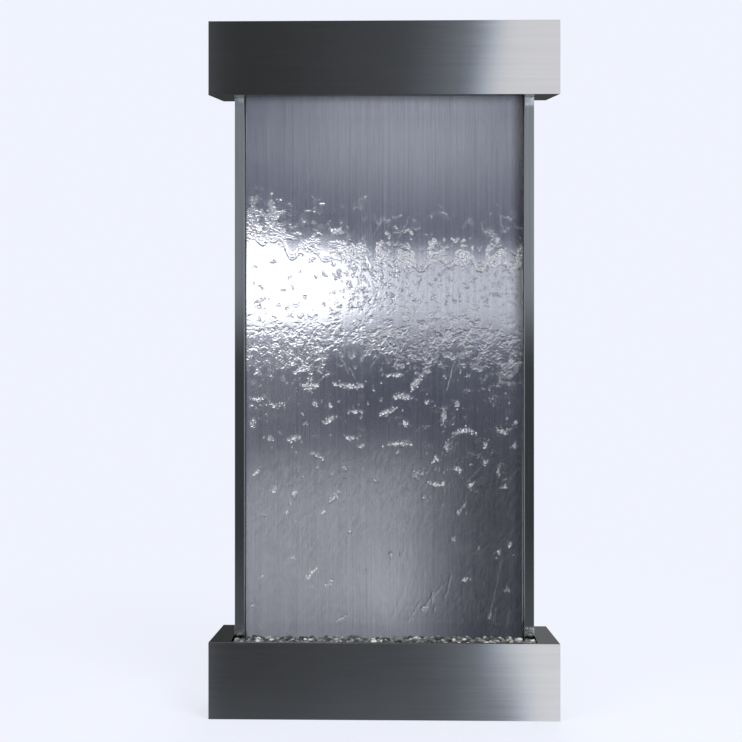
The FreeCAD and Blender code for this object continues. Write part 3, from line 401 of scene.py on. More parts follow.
def water_film():
    """Running water: calm runs, two broken belts, crumbly clusters and drops. Depth in millimetres; foam marks the white, aerated bits."""
    low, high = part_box("water_film")
    x0, x1 = low[0] * 1000, high[0] * 1000
    z0, z1 = low[2] * 1000, high[2] * 1000
    columns = 560
    xs = np.linspace(x0, x1, columns)
    zs = np.concatenate([np.linspace(z0, 560, 204)[:-1], np.linspace(560, 1420, 689)[:-1], np.linspace(1420, z1, 86)])
    rows = len(zs)
    X, Z = np.meshgrid(xs, zs)
    rng = np.random.default_rng(20741)
    foam = np.zeros_like(X)
    depth = 0.62 + 0.10 * gradient_noise(X / 60, Z / 150, 1) + 0.05 * gradient_noise(X / 17, Z / 30, 13)
    slant_x, slant_z = X - 0.5 * Z + 9 * gradient_noise(X / 40, Z / 40, 50), Z + 0.5 * X
    calm = smoothstep(-Z, -760, -560)
    slants = calm * (1 - 0.78 * smoothstep(X, 20, 170))
    depth += slants * (0.17 * gradient_noise(slant_x / 15, slant_z / 52, 51) + 0.10 * gradient_noise(slant_x / 6, slant_z / 20, 52))
    depth += calm * (0.08 * gradient_noise(X / 11, Z / 9, 53) + 0.05 * gradient_noise(X / 6, Z / 5, 61))
    # a faint bloom on the surface: slanting crepe low down, upright streaks where the water runs thin
    crepe = np.clip(0.45 + 0.9 * gradient_noise(slant_x / 9, slant_z / 36, 57) + 0.8 * gradient_noise(X / 5.5, Z / 4.8, 58), 0, 1)
    foam = np.maximum(foam, 0.085 * crepe * calm * (1 - 0.70 * smoothstep(X, 20, 170)))
    streak = np.clip(0.35 + 1.1 * gradient_noise(X / 3.4, Z / 95, 59) + 0.7 * gradient_noise(X / 7.0, Z / 160, 60), 0, 1)
    thin = np.exp(-(((X + 5) / 95) ** 2)) * np.exp(-(((Z - 330) / 130) ** 2)) + 0.55 * smoothstep(Z, 1330, 1480)
    foam = np.maximum(foam, 0.085 * streak * thin)
    foam = np.maximum(foam, 0.21 * streak ** 2 * np.exp(-(((X + 3) / 52) ** 2)) * np.exp(-(((Z - 300) / 95) ** 2)))
    # thin upright runs of water
    depth += 0.007 * gradient_noise(X / 4.2, Z / 170, 2) + 0.025 * gradient_noise(X / 15, Z / 320, 3)
    warp_x = X + 9 * gradient_noise(X / 19, Z / 19, 4) + 3.5 * gradient_noise(X / 7, Z / 7, 14)
    warp_z = Z + 9 * gradient_noise(X / 18, Z / 20, 5) + 3.5 * gradient_noise(X / 7, Z / 7, 15)
    crackle = (
        0.95 * np.abs(gradient_noise(warp_x / 7.8, warp_z / 7.0, 8))
        + 0.55 * gradient_noise(warp_x / 4.5, warp_z / 4.2, 9)
        + 0.30 * gradient_noise(X / 3.0, Z / 3.0, 10)
    )
    specks = 1.25 * np.abs(gradient_noise(warp_x / 6.0, warp_z / 5.2, 36)) + 0.65 * gradient_noise(X / 3.1, Z / 3.0, 37)
    specks = 0.5 + 0.5 * np.clip((specks - 0.30) / 0.36, -1.0, 1.0)

    def broken(cover, coarse, fine, key):
        """Ragged patches: the more cover, the more of the surface."""
        field = 0.9 * gradient_noise(X / coarse, Z / (0.86 * coarse), key) + 0.55 * gradient_noise(X / fine, Z / (0.9 * fine), key + 1)
        return smoothstep(field - (0.78 - 1.12 * cover), 0.0, 0.24)

    # upper belt: a ragged edge with smooth tongues hanging from it
    edge = np.interp(xs, [-361, -102, 361], [1226, 1163, 1152]) + 16 * gradient_noise(xs / 41, xs * 0 + 0.5, 22) + 8 * gradient_noise(xs / 15, xs * 0 + 2.5, 23)
    inside = np.zeros_like(xs)
    tongues = ((-241, 19, 24), (-34, 15, 28), (250, 19, 22), (96, 21, 16), (331, 15, 18), (-161, 20, 10), (172, 14, 12), (24, 12, 10), (-318, 12, 8))
    for cx, half, drop in tongues:
        t = np.clip(1 - ((xs - cx) / half) ** 2, 0, 1)
        edge = edge - drop * t ** 1.5
        inside = np.maximum(inside, t * min(1.0, drop / 18))
    rel = Z - edge[None, :]
    cover = np.interp(rel, [-34, -8, 6, 30, 58, 105, 190, 270], [0.0, 0.30, 1.12, 1.06, 0.60, 0.30, 0.16, 0.0])
    cover += smoothstep(-X, 262, 292) * np.interp(rel, [25, 50, 110, 140], [0.0, 0.50, 0.50, 0.0])
    cover *= 1 - 0.95 * inside[None, :] * smoothstep(rel, 4, 14) * smoothstep(-rel, -120, -60)
    patch = broken(cover, 27, 10, 6)
    depth += 1.05 * patch * (crackle - 0.12) * (1 - 0.35 * smoothstep(-X, 150, 260))
    foam = np.maximum(foam, patch * (0.03 + 0.27 * specks) * (1 + 0.70 * smoothstep(X, -200, -60)))
    # crests along the tongues
    for cx, half, drop in tongues:
        for k in range(3):
            at = np.nonzero(np.abs(xs - cx) < half * 1.15)[0]
            line = edge[at] + 6.5 * k + 1.8 * gradient_noise(xs[at] / 5 + k, xs[at] * 0 + 0.5, 24)
            near = Z[:, at] - line[None, :]
            fade = smoothstep(1.15 - np.abs(xs[at] - cx) / half, 0.0, 0.25)[None, :] * (0.75 ** k) * min(1.0, drop / 16)
            depth[:, at] += 0.75 * np.exp(-((near / 1.9) ** 2)) * fade
            foam[:, at] = np.maximum(foam[:, at], 0.30 * np.exp(-(((near - 1.6) / 1.7) ** 2)) * fade)
    # the belt between, right of the glow: fine flecks
    cover = smoothstep(Z, 1010, 1060) * smoothstep(-Z, -1185, -1150) * np.interp(X, [-150, -95, 30, 110, 361], [0.0, 0.84, 0.80, 0.62, 0.68])
    patch = broken(cover, 17, 7, 26)
    depth += 1.9 * patch * (crackle - 0.12)
    foam = np.maximum(foam, 0.16 * patch * specks)
    # lower belt: clouds of broken water above peaked ridges of smooth water
    ridge = 838 + 40 * gradient_noise(xs / 46, xs * 0 + 0.5, 27) + 16 * gradient_noise(xs / 17, xs * 0 + 3.5, 28)
    for cx, top, left, right in ((-102, 964, 2.0, 0.60), (177, 916, 0.80, 1.00)):
        ridge = np.maximum(ridge, top - np.where(xs < cx, (cx - xs) * left, (xs - cx) * right) + 9 * gradient_noise(xs / 9, xs * 0 + 1.5, 29))
    rel = Z - ridge[None, :] + 26 * gradient_noise(X / 33, Z / 26, 54) + 12 * gradient_noise(X / 12, Z / 11, 55)
    cover = np.interp(rel, [-120, -60, -20, 8, 40, 90, 150, 220], [0.0, 0.17, 0.38, 0.68, 0.85, 0.90, 0.80, 0.62]) * np.interp(Z, [985, 1045, 1095], [1.0, 0.72, 0.0])
    patch = broken(cover, 25, 9, 16)
    cloud = (
        0.60 * gradient_noise(warp_x / 36, warp_z / 27, 34)
        + 0.46 * gradient_noise(warp_x / 16, warp_z / 12, 18)
        + 0.34 * gradient_noise(warp_x / 7.5, warp_z / 6.6, 19)
        + 0.24 * gradient_noise(X / 4.0, Z / 3.8, 20)
    )
    puffs = 0.5 + 0.5 * np.clip((0.9 * gradient_noise(warp_x / 44, warp_z / 30, 56) + cloud) * 1.6, -1.0, 1.0)
    fizz = gradient_noise(warp_x / 3.6, warp_z / 3.3, 66)
    depth += patch * np.clip(1.00 * cloud + 0.55 * crackle * (0.35 + 0.9 * puffs) + 0.26 * fizz, -0.45, 1.5)
    foam = np.maximum(foam, patch * (0.01 + 0.46 * puffs ** 2.4) * (0.12 + 1.0 * specks) * (1 - 0.30 * smoothstep(-X, 120, 240)))

    def around(cx, cz, rx, rz):
        i0, i1 = np.searchsorted(xs, (cx - rx, cx + rx))
        j0, j1 = np.searchsorted(zs, (cz - rz, cz + rz))
        return slice(j0, j1), slice(i0, i1)

    def crumb(cx, cz, wide, tall, bend, tilt, size, white, key):
        """A crumbly white patch along a bent line."""
        at = around(cx, cz, wide * 1.1 + 2, abs(bend) + abs(tilt) * wide + tall * 2.6 + 3)
        t = (X[at] - cx) / wide
        crest = cz + bend * np.abs(t) ** 1.5 + tilt * (X[at] - cx) + 3.0 * gradient_noise(X[at] / 8 + key, Z[at] / 30, 41)
        cover = np.exp(-(((Z[at] - crest) / tall) ** 2)) * smoothstep(1.0 - np.abs(t), 0.0, 0.35)
        bits = gradient_noise(X[at] / 4.6 + key * 3.1, Z[at] / 4.0 - key * 1.7, 42) + 0.75 * gradient_noise(X[at] / 2.8 - key, Z[at] / 2.6 + key, 43)
        lumps = np.abs(gradient_noise(X[at] / 7.0 + key, Z[at] / 5.5 + key * 2.3, 45))
        depth[at] += size * np.sqrt(cover) * np.clip(0.10 + 0.9 * lumps + 1.25 * bits, -0.55, 1.4)
        foam[at] = np.maximum(foam[at], white * smoothstep(cover * (0.50 + 0.6 * lumps) + 1.15 * bits * np.sqrt(cover), 0.22, 0.92))

    def run_line(cx, cz, run, lean, thick, size, white, key):
        """A thin slanting run of water."""
        at = around(cx, cz, abs(lean) * run / 2 + 8, run / 2 + 3)
        t = (Z[at] - cz) / run + 0.5
        line = cx + lean * (Z[at] - cz) + 3.4 * gradient_noise(X[at] / 30 + key, Z[at] / 11, 31) + 6.0 * gradient_noise(X[at] / 60 + key, Z[at] / 34, 65)
        beads = 0.62 + 0.75 * gradient_noise(X[at] / 9 + key, Z[at] / 5.5 - key, 32)
        lift = np.exp(-(((X[at] - line) / thick) ** 2)) * smoothstep(t, 0.0, 0.2) * smoothstep(1 - t, 0.0, 0.2)
        depth[at] += size * lift * np.clip(beads, 0.25, 1.2)
        foam[at] = np.maximum(foam[at], white * lift * np.clip(beads, 0.1, 1.0))

    # small hanging arcs above the upper belt and inside both belts
    for k in range(230):
        pick = rng.random() if k < 74 else 0.9
        cx = rng.uniform(-352, 352)
        cz = float(np.interp(cx, xs, edge)) + (rng.uniform(25, 150) if pick < 0.62 else rng.uniform(-6, 30)) if pick < 0.78 else rng.normal(955, 42)
        wide, drop = rng.uniform(5, 17) * (1.0 if k < 74 else 0.72), rng.uniform(4, 17) * (1 if rng.random() < 0.72 else -0.8)
        size, thick = rng.uniform(0.25, 0.7) * (0.55 if pick < 0.62 else 1.0), rng.uniform(1.3, 2.2)
        lean, power = rng.uniform(-0.45, 0.45), rng.uniform(1.2, 2.1)
        white = rng.uniform(0.03, 0.13) if pick < 0.62 else rng.uniform(0.14, 0.38)
        for n in range(rng.integers(1, 4)):
            at = around(cx, cz + n * 5.0, wide * 1.4, 42)
            dx = (X[at] - cx) / wide
            crest = cz + n * 5.0 + drop * np.abs(dx) ** power + lean * (X[at] - cx) + 2.2 * gradient_noise(X[at] / 5, Z[at] / 9, 21 + n)
            lift = np.exp(-(((Z[at] - crest) / thick) ** 2)) * smoothstep(1.25 - np.abs(dx), 0.0, 0.5)
            bits = np.clip(0.55 + 1.1 * gradient_noise(X[at] / 4.2 + k, Z[at] / 4.0, 44), 0.0, 1.0)
            depth[at] += size * (0.7 ** n) * lift
            foam[at] = np.maximum(foam[at], white * (0.8 ** n) * lift * bits)
    # slanting runs through the belts
    for k in range(46):
        low_belt = rng.random() < 0.80
        run_line(rng.uniform(-345, 345), rng.normal(950, 48) if low_belt else rng.normal(1205, 42), rng.uniform(20, 72), rng.uniform(0.22, 0.75) * (1 if rng.random() < 0.80 else -1),
                 rng.uniform(1.1, 1.6), rng.uniform(0.2, 0.5), rng.uniform(0.12, 0.40), k + 0.7)
    # marks in the glow
    for k in range(34):
        crumb(rng.uniform(-350, -105), rng.uniform(1040, 1178), rng.uniform(3.0, 11), rng.uniform(2.0, 4.2), rng.uniform(-6, 6), rng.uniform(-0.5, 0.5), rng.uniform(0.9, 1.8), rng.uniform(0.35, 0.75), k + 300.61)
    # marks above the upper belt
    for k in range(44):
        cx = rng.uniform(-352, 352)
        cz = float(np.interp(cx, xs, edge)) + 40 + 170 * rng.random() ** 1.4
        crumb(cx, cz, rng.uniform(3.5, 16), rng.uniform(2.2, 4.2), rng.uniform(-4, 12), rng.uniform(-0.6, 0.6), rng.uniform(0.3, 0.7), rng.uniform(0.02, 0.12), k + 400.17)
    # white clusters below the lower belt and drops on the calm field: middle, half width and height, bend, tilt, white
    marks = (
        (-212, 887, 22, 8, -6, 0.3, 0.5), (-194, 838, 22, 7, 5, 0, 0.6), (-92, 838, 37, 6, 4, -0.05, 0.6), (-141, 786, 4, 5, 0, 0, 0.5), (-145, 749, 17, 6, 0, 0.4, 0.6),
        (-77, 771, 22, 4, 0, 0, 0.45), (-89, 699, 12, 4, 6, 0, 0.6), (-62, 681, 8, 4, 0, 0.3, 0.5), (47, 812, 22, 8, -4, 0, 0.75), (84, 848, 14, 12, 0, 0.9, 0.65),
        (9, 771, 20, 8, 0, 0.4, 0.8), (56, 741, 8, 7, 0, 0, 0.75), (35, 688, 32, 6, -5, 0, 0.8), (155, 759, 7, 20, 0, 0, 0.55), (189, 791, 6, 10, 0, 0.2, 0.5),
        (208, 724, 27, 8, -12, 0.15, 0.75), (264, 684, 6, 10, 0, 0.3, 0.5), (313, 720, 20, 6, 8, 0.1, 0.5), (341, 744, 5, 5, 0, 0, 0.5), (133, 650, 11, 5, -22, 0.2, 0.75),
        (163, 677, 6, 12, 0, -0.6, 0.5), (-173, 654, 18, 4, 0, -0.45, 0.55), (-332, 615, 15, 3.6, 0, 1, 0.8), (-287, 568, 10, 11, 0, 0.4, 0.75), (-104, 623, 8, 8, 0, 0.2, 0.35),
        (88, 606, 14, 8, 0, 0.2, 0.45), (135, 579, 23, 5, 8, 0, 0.75), (193, 621, 12, 7, 0, -0.2, 0.5), (264, 639, 8, 7, 0, 0.3, 0.45), (227, 579, 8, 4, 0, 0.8, 0.4),
        (313, 576, 7, 5, 0, 0, 0.45), (-237, 699, 17, 9, 0, 0.3, 0.6), (-299, 699, 8, 4, 0, 0, 0.35), (-329, 804, 20, 5, 6, 0.1, 0.55), (-286, 786, 16, 5, 7, 0, 0.5),
        (110, 797, 6, 4, 0, 0, 0.35), (28, 868, 20, 4, 0, 0, 0.4), (298, 615, 4, 14, 0, 0.5, 0.3), (-21, 591, 6, 6, 0, 0, 0.3), (-233, 555, 5, 10, 0, 0.6, 0.5),
        (-132, 548, 12, 5, 0, 0.7, 0.6), (-182, 793, 5, 7, 0, 0, 0.3), (-344, 741, 8, 10, 0, 0, 0.25), (339, 684, 6, 7, 0, 0, 0.4),
        (-237, 555, 5, 8, 0, 0.6, 0.7), (-254, 507, 5, 6, 0, 0.5, 0.75), (-246, 529, 3, 8, 0, 0.4, 0.35), (-135, 542, 12, 5, 0, 0.7, 0.8), (-158, 508, 6, 5, 0, 0.4, 0.85),
        (-120, 563, 4, 7, 0, 0.5, 0.4), (-317, 503, 11, 3, 0, -0.1, 0.35), (227, 582, 7, 5, 0, 0.6, 0.5), (103, 548, 4, 3, 0, 0, 0.5), (193, 509, 4, 8, 0, 0.6, 0.3),
        (208, 529, 3, 9, 0, 0.5, 0.3), (-89, 459, 3, 9, 0, 0.2, 0.45), (-240, 393, 9, 8, 0, 0.4, 0.5), (-186, 354, 13, 11, 0, 0.7, 0.9), (-197, 339, 8, 6, 0, 0.3, 0.8),
        (-143, 323, 8, 5, 0, 0.6, 0.7), (-320, 339, 9, 6, 0, 0.6, 0.5), (17, 398, 8, 8, 0, 0.4, 0.35), (180, 438, 5, 4, 0, 0, 0.4), (298, 405, 4, 6, 0, 0.3, 0.6),
        (328, 423, 5, 5, 0, 0.3, 0.55), (105, 259, 8, 5, 0, 0.5, 0.85), (125, 284, 4, 10, 0, 0.8, 0.35), (210, 333, 8, 4, 0, 0, 0.6), (-111, 230, 13, 3, 0, 0.5, 0.55),
        (-344, 265, 5, 4, 0, 0.5, 0.5), (-321, 207, 8, 8, 0, 0.8, 0.35), (275, 240, 4, 9, 0, 0.5, 0.3), (320, 306, 7, 5, 0, 0, 0.3), (-50, 351, 3, 6, 0, 0.2, 0.4),
        (-190, 315, 6, 5, 0, 0, 0.35), (-205, 419, 3, 5, 0, 0, 0.3),
    )
    for k, (cx, cz, wide, tall, bend, tilt, white) in enumerate(marks):
        crumb(cx, cz, wide * 1.25, tall * 0.7, bend, tilt, 0.8, white * 0.30, k + 0.37)
        for n in range(int(8 + wide * 0.9 + wide * tall * 0.09)):
            t = np.clip(rng.normal(0, 0.52), -1.2, 1.2)
            crumb(cx + t * wide, cz + bend * abs(t) ** 1.5 + tilt * t * wide + rng.normal(0, tall * 0.52), rng.uniform(1.2, 3.2), rng.uniform(1.1, 2.4), rng.uniform(-2, 2), rng.uniform(-1, 1),
                  rng.uniform(0.6, 1.6), min(1.0, white * rng.uniform(0.35, 1.30)), k * 7 + n + 0.11)
        for n in range(3):
            crumb(cx + rng.normal(0, wide * 1.1 + 3), cz + rng.normal(0, tall + 5), rng.uniform(2.0, 4), rng.uniform(1.6, 3.0), rng.uniform(-3, 3), rng.uniform(-1, 1), rng.uniform(0.6, 1.4), white * rng.uniform(0.15, 0.5), k * 7 + n + 0.53)
    for k in range(70):
        crumb(rng.uniform(-350, 350), 880 - 330 * rng.random() ** 1.3, rng.uniform(2.2, 7), rng.uniform(2.0, 4.5), rng.uniform(-4, 4), rng.uniform(-1, 1), rng.uniform(0.5, 1.3), rng.uniform(0.08, 0.36), k + 600.71)
    # fine dust of bubbles under the lower belt, thickest on the right
    dust = smoothstep(gradient_noise(X / 3.4, Z / 3.1, 63) + 0.65 * gradient_noise(X / 38, Z / 24, 64), 0.40, 0.72)
    dust *= smoothstep(Z, 540, 660) * smoothstep(-Z, -930, -850) * (0.45 + 0.55 * smoothstep(X, -60, 180))
    foam = np.maximum(foam, 0.26 * dust)
    depth += 0.35 * dust
    # thin runs that end in a drop: foot, head, white
    runs = (
        (-257, 501, -230, 564, 0.14), (-160, 507, -119, 567, 0.16), (101, 257, 152, 319, 0.16), (-235, 255, -220, 312, 0.09), (-345, 263, -320, 315, 0.1),
        (272, 225, 309, 398, 0.08), (-89, 345, -92, 480, 0.1), (-50, 233, -50, 357, 0.1), (-332, 195, -310, 218, 0.12), (189, 503, 215, 540, 0.1),
        (54, 203, 84, 263, 0.05), (279, 203, 294, 270, 0.07), (-197, 334, -170, 379, 0.12), (-126, 222, -95, 240, 0.12), (159, 278, 174, 345, 0.05),
    )
    for k, (foot_x, foot_z, head_x, head_z, white) in enumerate(runs):
        rise = head_z - foot_z
        run_line((foot_x + head_x) / 2, (foot_z + head_z) / 2, rise * 1.1, (head_x - foot_x) / rise, 2.0, 0.40, white, k + 90.3)
    for k in range(26):
        crumb(rng.uniform(-350, 350), rng.uniform(180, 540), rng.uniform(2.0, 4.0), rng.uniform(1.8, 3.6), rng.uniform(-3, 3), rng.uniform(-0.3, 1.2), rng.uniform(0.5, 1.2), rng.uniform(0.08, 0.34), k * 9 + 500.23)
    # faint slanting ripples low down
    for k in range(46):
        run_line(rng.uniform(-345, 345), rng.uniform(180, 620), rng.uniform(25, 90), rng.uniform(0.15, 0.9) * (1 if rng.random() < 0.8 else -1), rng.uniform(2.5, 4.5), rng.uniform(0.10, 0.30), rng.uniform(0.0, 0.07), k + 150.9)
    depth = np.clip(depth, 0.10, 2.45)
    foam = np.clip(foam, 0.0, 1.0)
    front = np.stack([X / 1000, 0.0149 - depth / 1000, Z / 1000], axis=-1).reshape(-1, 3)
    # the rim of the back sheet, joined to the front all round
    ring = (
        [(0, i) for i in range(columns)]
        + [(j, columns - 1) for j in range(1, rows)]
        + [(rows - 1, i) for i in range(columns - 2, -1, -1)]
        + [(j, 0) for j in range(rows - 2, 0, -1)]
    )
    ring = [j * columns + i for j, i in ring]
    back = front[ring].copy()
    back[:, 1] = 0.0149
    verts = np.concatenate([front, back])
    n = columns * rows
    index = np.arange(n).reshape(rows, columns)
    quads = np.stack([index[:-1, :-1], index[:-1, 1:], index[1:, 1:], index[1:, :-1]], axis=-1).reshape(-1, 4).tolist()
    m = len(ring)
    sides = [[ring[(k + 1) % m], ring[k], n + k, n + (k + 1) % m] for k in range(m)]
    faces = quads + sides + [[n + k for k in range(m - 1, -1, -1)]]
    obj = mesh_object("running_water", verts.tolist(), faces)
    flat = [True] * len(quads) + [False] * (len(sides) + 1)
    obj.data.polygons.foreach_set("use_smooth", flat)
    grey = np.concatenate([foam.reshape(-1), np.zeros(m)])
    layer = obj.data.color_attributes.new("foam", "FLOAT_COLOR", "POINT")
    layer.data.foreach_set("color", np.stack([grey, grey, grey, np.ones_like(grey)], axis=1).ravel())
    obj.data.materials.append(MATERIALS["water"])
    return obj


film = water_film()
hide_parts("water_film")
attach(film, "frame")


# ---------------------------------------------------------------------------
# glass sheet with ground edges
# ---------------------------------------------------------------------------
def glass_sheet():
    low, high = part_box("glass_panel")
    bm = bmesh.new()
    bmesh.ops.create_cube(bm, size=1.0)
    span = (high[0] - low[0], high[1] - low[1] - 0.0001, high[2] - low[2])
    middle = ((high[0] + low[0]) / 2, (high[1] + low[1]) / 2 - 0.00005, (high[2] + low[2]) / 2)
    bmesh.ops.transform(bm, matrix=Matrix.Translation(middle) @ Matrix.Diagonal((*span, 1.0)), verts=bm.verts)
    bmesh.ops.bevel(bm, geom=list(bm.edges), offset=0.0009, segments=2, profile=0.5, affect="EDGES", clamp_overlap=True)
    mesh = bpy.data.meshes.new("glass_sheet")
    bm.to_mesh(mesh)
    bm.free()
    obj = bpy.data.objects.new("glass_sheet", mesh)
    scene.collection.objects.link(obj)
    mesh.materials.append(MATERIALS["clear_glass"])
    return obj


glass = glass_sheet()
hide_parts("glass_panel")
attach(glass, "frame")


# ---------------------------------------------------------------------------
# river pebbles
# ---------------------------------------------------------------------------
def stone_shape(seed, level):
    """A water-worn stone of about unit radius: rounded, a little lopsided, one side flatter."""
    bm = bmesh.new()
    bmesh.ops.create_icosphere(bm, subdivisions=level, radius=1.0)
    offset = Vector((seed * 3.17, seed * 1.31, seed * 7.73))
    verts = []
    for v in bm.verts:
        p = v.co.copy()
        swell = 1.0 + 0.26 * vnoise.noise(p * 0.8 + offset) + 0.10 * vnoise.noise(p * 1.9 - offset)
        q = p * swell
        if q.z < -0.55:
            q.z = -0.55 + (q.z + 0.55) * 0.35
        verts.append(tuple(q))
    faces = [tuple(v.index for v in f.verts) for f in bm.faces]
    bm.free()
    return np.array(verts), np.array(faces)


def pebbles():
    rng = np.random.default_rng(5117)
    fine = [stone_shape(k, 2) for k in range(16)]
    plain = [stone_shape(k + 50, 1) for k in range(8)]
    tints = [
        ((0.200, 0.206, 0.206), 0.25), ((0.105, 0.110, 0.112), 0.26), ((0.34, 0.345, 0.34), 0.15), ((0.040, 0.042, 0.045), 0.20),
        ((0.62, 0.62, 0.61), 0.09), ((0.16, 0.155, 0.145), 0.03), ((0.075, 0.085, 0.095), 0.04),
    ]
    chance = np.array([t[1] for t in tints]) / sum(t[1] for t in tints)
    verts, faces, colours, count = [], [], [], 0
    low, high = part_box("pebble_bed")
    floor_z = low[2]

    def lay(px, py, pz, size, shapes, tilt):
        nonlocal count
        shape, tris = shapes[rng.integers(len(shapes))]
        squash = np.array([1.0, rng.uniform(0.66, 0.92), rng.uniform(0.48, 0.68)])
        turn = Euler((rng.normal(0, tilt), rng.normal(0, tilt), rng.uniform(0, 2 * math.pi))).to_matrix()
        pts = (shape * squash * size) @ np.array(turn).T
        lift = max(pz, floor_z + 0.0002 - pts[:, 2].min())
        pts = pts + np.array([px, py, lift])
        top = pts[:, 2].max()
        if top > 0.1912:
            pts[:, 2] -= top - 0.1912
        reach = 0.3885
        inner = 0.3575
        behind = pts[:, 1].max() > -0.0135
        limit = inner if behind else reach
        over = max(pts[:, 0].max() - limit, 0) + min(pts[:, 0].min() + limit, 0)
        pts[:, 0] -= over
        pts[:, 1] -= max(pts[:, 1].max() - 0.0092, 0) + min(pts[:, 1].min() + 0.0842, 0)
        verts.append(pts)
        faces.append(tris + count)
        count += len(pts)
        tint = np.array(tints[rng.choice(len(tints), p=chance)][0]) * rng.uniform(0.82, 1.18)
        colours.append(np.tile(np.clip(tint, 0, 1), (len(pts), 1)))

    for layer, (z, shapes, tilt) in enumerate(((0.1590, plain, 0.15), (0.1705, fine, 0.25), (0.1825, fine, 0.32))):
        pitch = 0.0178 if layer < 2 else 0.0134
        nx, ny = int(0.776 / pitch), int(0.094 / pitch)
        for j in range(ny + 1):
            for i in range(nx + 1):
                px = -0.386 + (i + 0.5 * (j % 2)) * 0.776 / nx + rng.normal(0, 0.0022)
                py = -0.080 + j * 0.086 / ny + rng.normal(0, 0.0018)
                if abs(px) > 0.392 or (py > -0.014 and abs(px) > 0.352):
                    continue
                small = 1.0 if layer < 2 else 0.80
                size = small * (rng.uniform(0.0078, 0.0118) if rng.random() < 0.8 else rng.uniform(0.0050, 0.0075))
                lay(px, py, z + rng.normal(0, 0.0022), size, shapes, tilt)
    # the corners in front of the rails are heaped full
    for side in (-1, 1):
        for j in range(8):
            for i in range(3):
                px, py = side * (0.3645 + i * 0.0098 + rng.normal(0, 0.001)), -0.0795 + j * 0.0088 + rng.normal(0, 0.001)
                lay(px, py, 0.1862 + rng.normal(0, 0.001), rng.uniform(0.0060, 0.0084), fine, 0.35)
    verts, faces, colours = np.concatenate(verts), np.concatenate(faces), np.concatenate(colours)
    obj = mesh_object("river_pebbles", verts.tolist(), faces.tolist())
    layer = obj.data.color_attributes.new("tint", "FLOAT_COLOR", "POINT")
    layer.data.foreach_set("color", np.concatenate([colours, np.ones((len(colours), 1))], axis=1).ravel())
    obj.data.materials.append(MATERIALS["pebble_stone"])
    return obj


stones = pebbles()
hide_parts("pebble_bed")
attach(stones, "frame")


# ---------------------------------------------------------------------------
# stage: pale floor, soft studio surroundings, a soft card in front of the panel
# ---------------------------------------------------------------------------
PALE = (0.871, 0.896, 0.983)


def studio_world():
    world = bpy.data.worlds.new("studio")
    scene.world = world
    world.use_nodes = True
    tree = world.node_tree
    for node in list(tree.nodes):
        tree.nodes.remove(node)
    g = Graph(tree)
    way = g.add("ShaderNodeTexCoord").outputs["Generated"]
    x, y, z = g.split(way)
    turn = 180.0 / math.pi
    el = g.times(g.math("ARCSINE", z), turn)
    az = g.times(g.math("ARCTAN2", x, g.times(y, -1.0)), turn)
    back_az = g.times(g.math("ARCTAN2", x, y), turn)
    # the room all round
    room = g.plus(
        0.30,
        g.step(z, 0.15, 0.8, 0.0, 0.32),
        g.step(x, -0.3, 0.9, 0.0, 0.30),
        g.times(g.window(az, -80.0, -62.0, -50.0, -34.0), g.window(el, -35.0, -12.0, 35.0, 55.0), 0.55),
        g.times(g.window(back_az, 20.0, 36.0, 50.0, 70.0), g.window(el, -35.0, -12.0, 35.0, 55.0), 0.45),
        g.times(g.window(g.math("ABSOLUTE", az), 72.0, 86.0, 92.0, 108.0), g.window(el, -40.0, -4.0, 8.0, 60.0), 0.42),
    )
    # a dark wall far in front, and another behind that the tray's ledges mirror
    in_front = g.times(g.window(az, -48.0, -32.0, 32.0, 48.0), g.window(el, -48.0, -34.0, 34.0, 48.0))
    light = g.blend(in_front, room, 0.040, "FLOAT")
    behind = g.plus(0.050, g.times(g.step(back_az, -3.0, 7.0, 0.0, 0.13), g.step(el, -1.0, 4.0)))
    in_back = g.times(g.window(back_az, -40.0, -28.0, 28.0, 40.0), g.window(el, -50.0, -36.0, 48.0, 62.0))
    light = g.blend(in_back, light, behind, "FLOAT")
    tint = g.blend(0.5, (0.985, 0.995, 1.0), (0.975, 0.99, 1.0))
    around = g.add("ShaderNodeBackground")
    g.put(around.inputs["Color"], tint)
    g.put(around.inputs["Strength"], light)
    seen = g.add("ShaderNodeBackground")
    seen.inputs["Color"].default_value = (*PALE, 1.0)
    mix = g.add("ShaderNodeMixShader")
    g.put(mix.inputs[0], g.add("ShaderNodeLightPath").outputs["Is Camera Ray"])
    g.put(mix.inputs[1], around.outputs[0])
    g.put(mix.inputs[2], seen.outputs[0])
    out = g.add("ShaderNodeOutputWorld")
    g.put(out.inputs["Surface"], mix.outputs[0])


studio_world()


def plane(name, corners):
    mesh = bpy.data.meshes.new(name)
    mesh.from_pydata(corners, [], [(0, 1, 2, 3)])
    mesh.update()
    obj = bpy.data.objects.new(name, mesh)
    scene.collection.objects.link(obj)
    return obj


def pale_floor():
    floor = plane("floor", [(-30, -30, -0.0005), (30, -30, -0.0005), (30, 30, -0.0005), (-30, 30, -0.0005)])
    material = bpy.data.materials.new("pale_floor")
    material.use_nodes = True
    tree = material.node_tree
    for node in list(tree.nodes):
        tree.nodes.remove(node)
    g = Graph(tree)
    place = g.where()
    far = g.step(g.vector("LENGTH", place), 0.5, 2.2)
    matt = g.add("ShaderNodeBsdfDiffuse")
    matt.inputs["Color"].default_value = (*shade(PALE, 0.86), 1.0)
    glow = g.add("ShaderNodeEmission")
    glow.inputs["Color"].default_value = (*PALE, 1.0)
    mix = g.add("ShaderNodeMixShader")
    g.put(mix.inputs[0], g.span(far, 0.0, 1.0, 0.72, 1.0))
    g.put(mix.inputs[1], matt.outputs[0])
    g.put(mix.inputs[2], glow.outputs[0])
    out = g.add("ShaderNodeOutputMaterial")
    g.put(out.inputs["Surface"], mix.outputs[0])
    floor.data.materials.append(material)
    floor.visible_glossy = False
    floor.visible_transmission = False
    return floor


